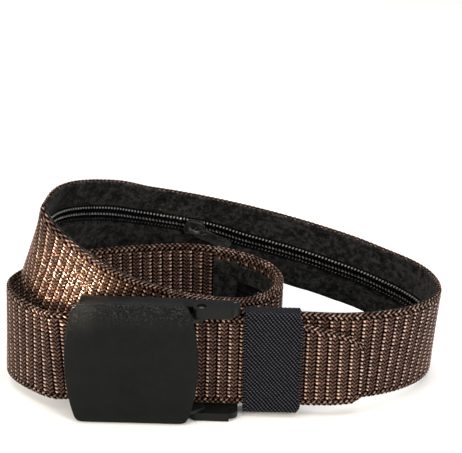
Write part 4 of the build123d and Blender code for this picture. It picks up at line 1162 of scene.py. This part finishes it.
fi = (fo + K*M)[:, ::-1]
j = np.arange(M)
k = (j + 1) % M
c0 = np.stack([j, j + K*M, k + K*M, k], -1)
b = (K - 1)*M
c1 = np.stack([b + j, b + k, b + k + K*M, b + j + K*M], -1)
# colour follows the cord height: the twill cords' dots are painted lighter as a highlight; the inner face stays at the
# dark end
at = np.stack([np.concatenate([h.ravel(), 0*h.ravel() + 0.2]), np.zeros(2*K*M), np.full(2*K*M, 0.5)], -1)
keeper = make("keeper_elastic", V0, np.concatenate([fo, fi, c0, c1]), (), {"weave": at}, mat=M_ELASTIC, body="keeper", slot="elastic_black")
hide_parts("keeper_band")

# flat seam where the elastic's ends are joined, at the back of the loop
xs, zs = np.linspace(KX0 + 0.5, KX1 - 0.5, 76), np.linspace(17.6, 29.4, 42)
X2, Z2 = np.meshgrid(xs, zs, indexing="ij")
h = twill(X2, -Z2)
e = np.minimum(np.minimum(X2 - xs[0], xs[-1] - X2), np.minimum(Z2 - zs[0], zs[-1] - Z2))
y = KY1 + 0.62 + 0.16*h - 0.35*(1 - np.clip(e/0.5, 0, 1))
for z in (20.4, 26.6):
    y -= 0.18*np.exp(-((Z2 - z)/0.3)**2)
F = np.stack([X2, y, Z2], -1)
Bk = np.stack([X2, 0*y + KY1 + 0.08, Z2], -1)[:, ::-1]
G = np.concatenate([F, Bk], 1)
# painted highlight on the seam's cords, as on the loop
hh = np.concatenate([h, 0*h], 1)
seam = tube("keeper_seam_lap", G, {"weave": np.stack([hh, 0*hh, 0*hh + 0.5], -1)}, mat=M_ELASTIC, body="keeper", slot="elastic_black")
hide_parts("keeper_seam")
rows = []
for z in (20.4, 26.6):
    for q in range(9):
        x0 = KX0 + 1.2 + q*2.35
        t = np.linspace(0, 1, 7)
        pts = np.stack([x0 + 1.95*t, KY1 + 0.60 + 0.12*(1 - (2*t - 1)**4), 0*t + z], -1)
        rows.append(rod(pts, 0.2*np.sqrt(np.clip(1 - np.abs(2*t - 1)**6*0.85, 0.05, 1)), 7))
many_tubes("keeper_thread", rows, yarn_attr(rows), mat=M_THREAD_K, body="keeper", slot="thread")

# ------------------------------------------------------------ floor and light
fl = bpy.data.meshes.new("floor")
L = 4.0
fl.from_pydata([(-L, -L, -0.0004), (L, -L, -0.0004), (L, L, -0.0004), (-L, L, -0.0004)], [], [(0, 1, 2, 3)])
floor = bpy.data.objects.new("floor", fl)
bpy.context.scene.collection.objects.link(floor)
fm, nt, bs = nodes_of("pale_floor")
NF = Net(nt)
fn = NF.noise(NF.coords(), 3.0, 2.0)
nt.links.new(NF.ramp(fn, [(0.0, (0.90, 0.90, 0.905)), (1.0, (0.93, 0.93, 0.93))]), bs.inputs["Base Color"])
bs.inputs["Roughness"].default_value = 0.18
bs.inputs["Specular IOR Level"].default_value = 0.5
fl.materials.append(fm)

world = bpy.data.worlds.new("studio")
bpy.context.scene.world = world
world.use_nodes = True
bg = world.node_tree.nodes["Background"]
bg.inputs[0].default_value = (1.0, 1.0, 1.0, 1)
bg.inputs[1].default_value = 0.22


def softbox(name, loc, target, sx, sy, power, color=(1, 1, 1), spread=180):
    d = bpy.data.lights.new(name, "AREA")
    d.spread = math.radians(spread)
    d.shape, d.size, d.size_y, d.energy, d.color = "RECTANGLE", sx, sy, power, color
    o = bpy.data.objects.new(name, d)
    bpy.context.scene.collection.objects.link(o)
    o.location = loc
    o.rotation_euler = (Vector(target) - Vector(loc)).to_track_quat("-Z", "Y").to_euler()
    return o


softbox("top_box", (0.02, 0.10, 1.00), (0, 0.0, 0.02), 1.3, 1.1, 17.0)
softbox("left_box", (-0.62, -0.52, 0.34), (-0.04, -0.02, 0.03), 0.30, 0.60, 6.6, (1.0, 0.90, 0.74))
softbox("bend_box", (-0.20, -0.36, 0.15), (-0.057, -0.031, 0.0505), 0.02, 0.02, 0.020, (1.0, 0.84, 0.60), spread=4.5)
softbox("right_box", (0.60, -0.60, 0.36), (0.03, -0.02, 0.03), 0.26, 0.55, 7.0, (1.0, 0.95, 0.88))

# ------------------------------------------------------------------- camera
cam = bpy.data.cameras.new("camera")
cam.lens, cam.sensor_width, cam.sensor_fit = 1400.0*36.0/462.0, 36.0, "HORIZONTAL"
cam.clip_start, cam.clip_end = 0.01, 20.0
co = bpy.data.objects.new("camera", cam)
bpy.context.scene.collection.objects.link(co)
el, roll = math.radians(25.0), math.radians(1.5)
fwd = Vector((0, math.cos(el), -math.sin(el)))
right, up = Vector((1, 0, 0)), Vector((0, math.sin(el), math.cos(el)))
R2 = math.cos(roll)*right + math.sin(roll)*up
U2 = -math.sin(roll)*right + math.cos(roll)*up
m = Matrix.Identity(4)
for i in range(3):
    m[i][0], m[i][1], m[i][2] = R2[i], U2[i], -fwd[i]
m.translation = Vector((0.00208, -0.49647, 0.291175))
co.matrix_world = m
sc = bpy.context.scene
sc.camera = co
sc.view_settings.view_transform = "Standard"
sc.view_settings.look = "None"

bpy.context.view_layer.update()
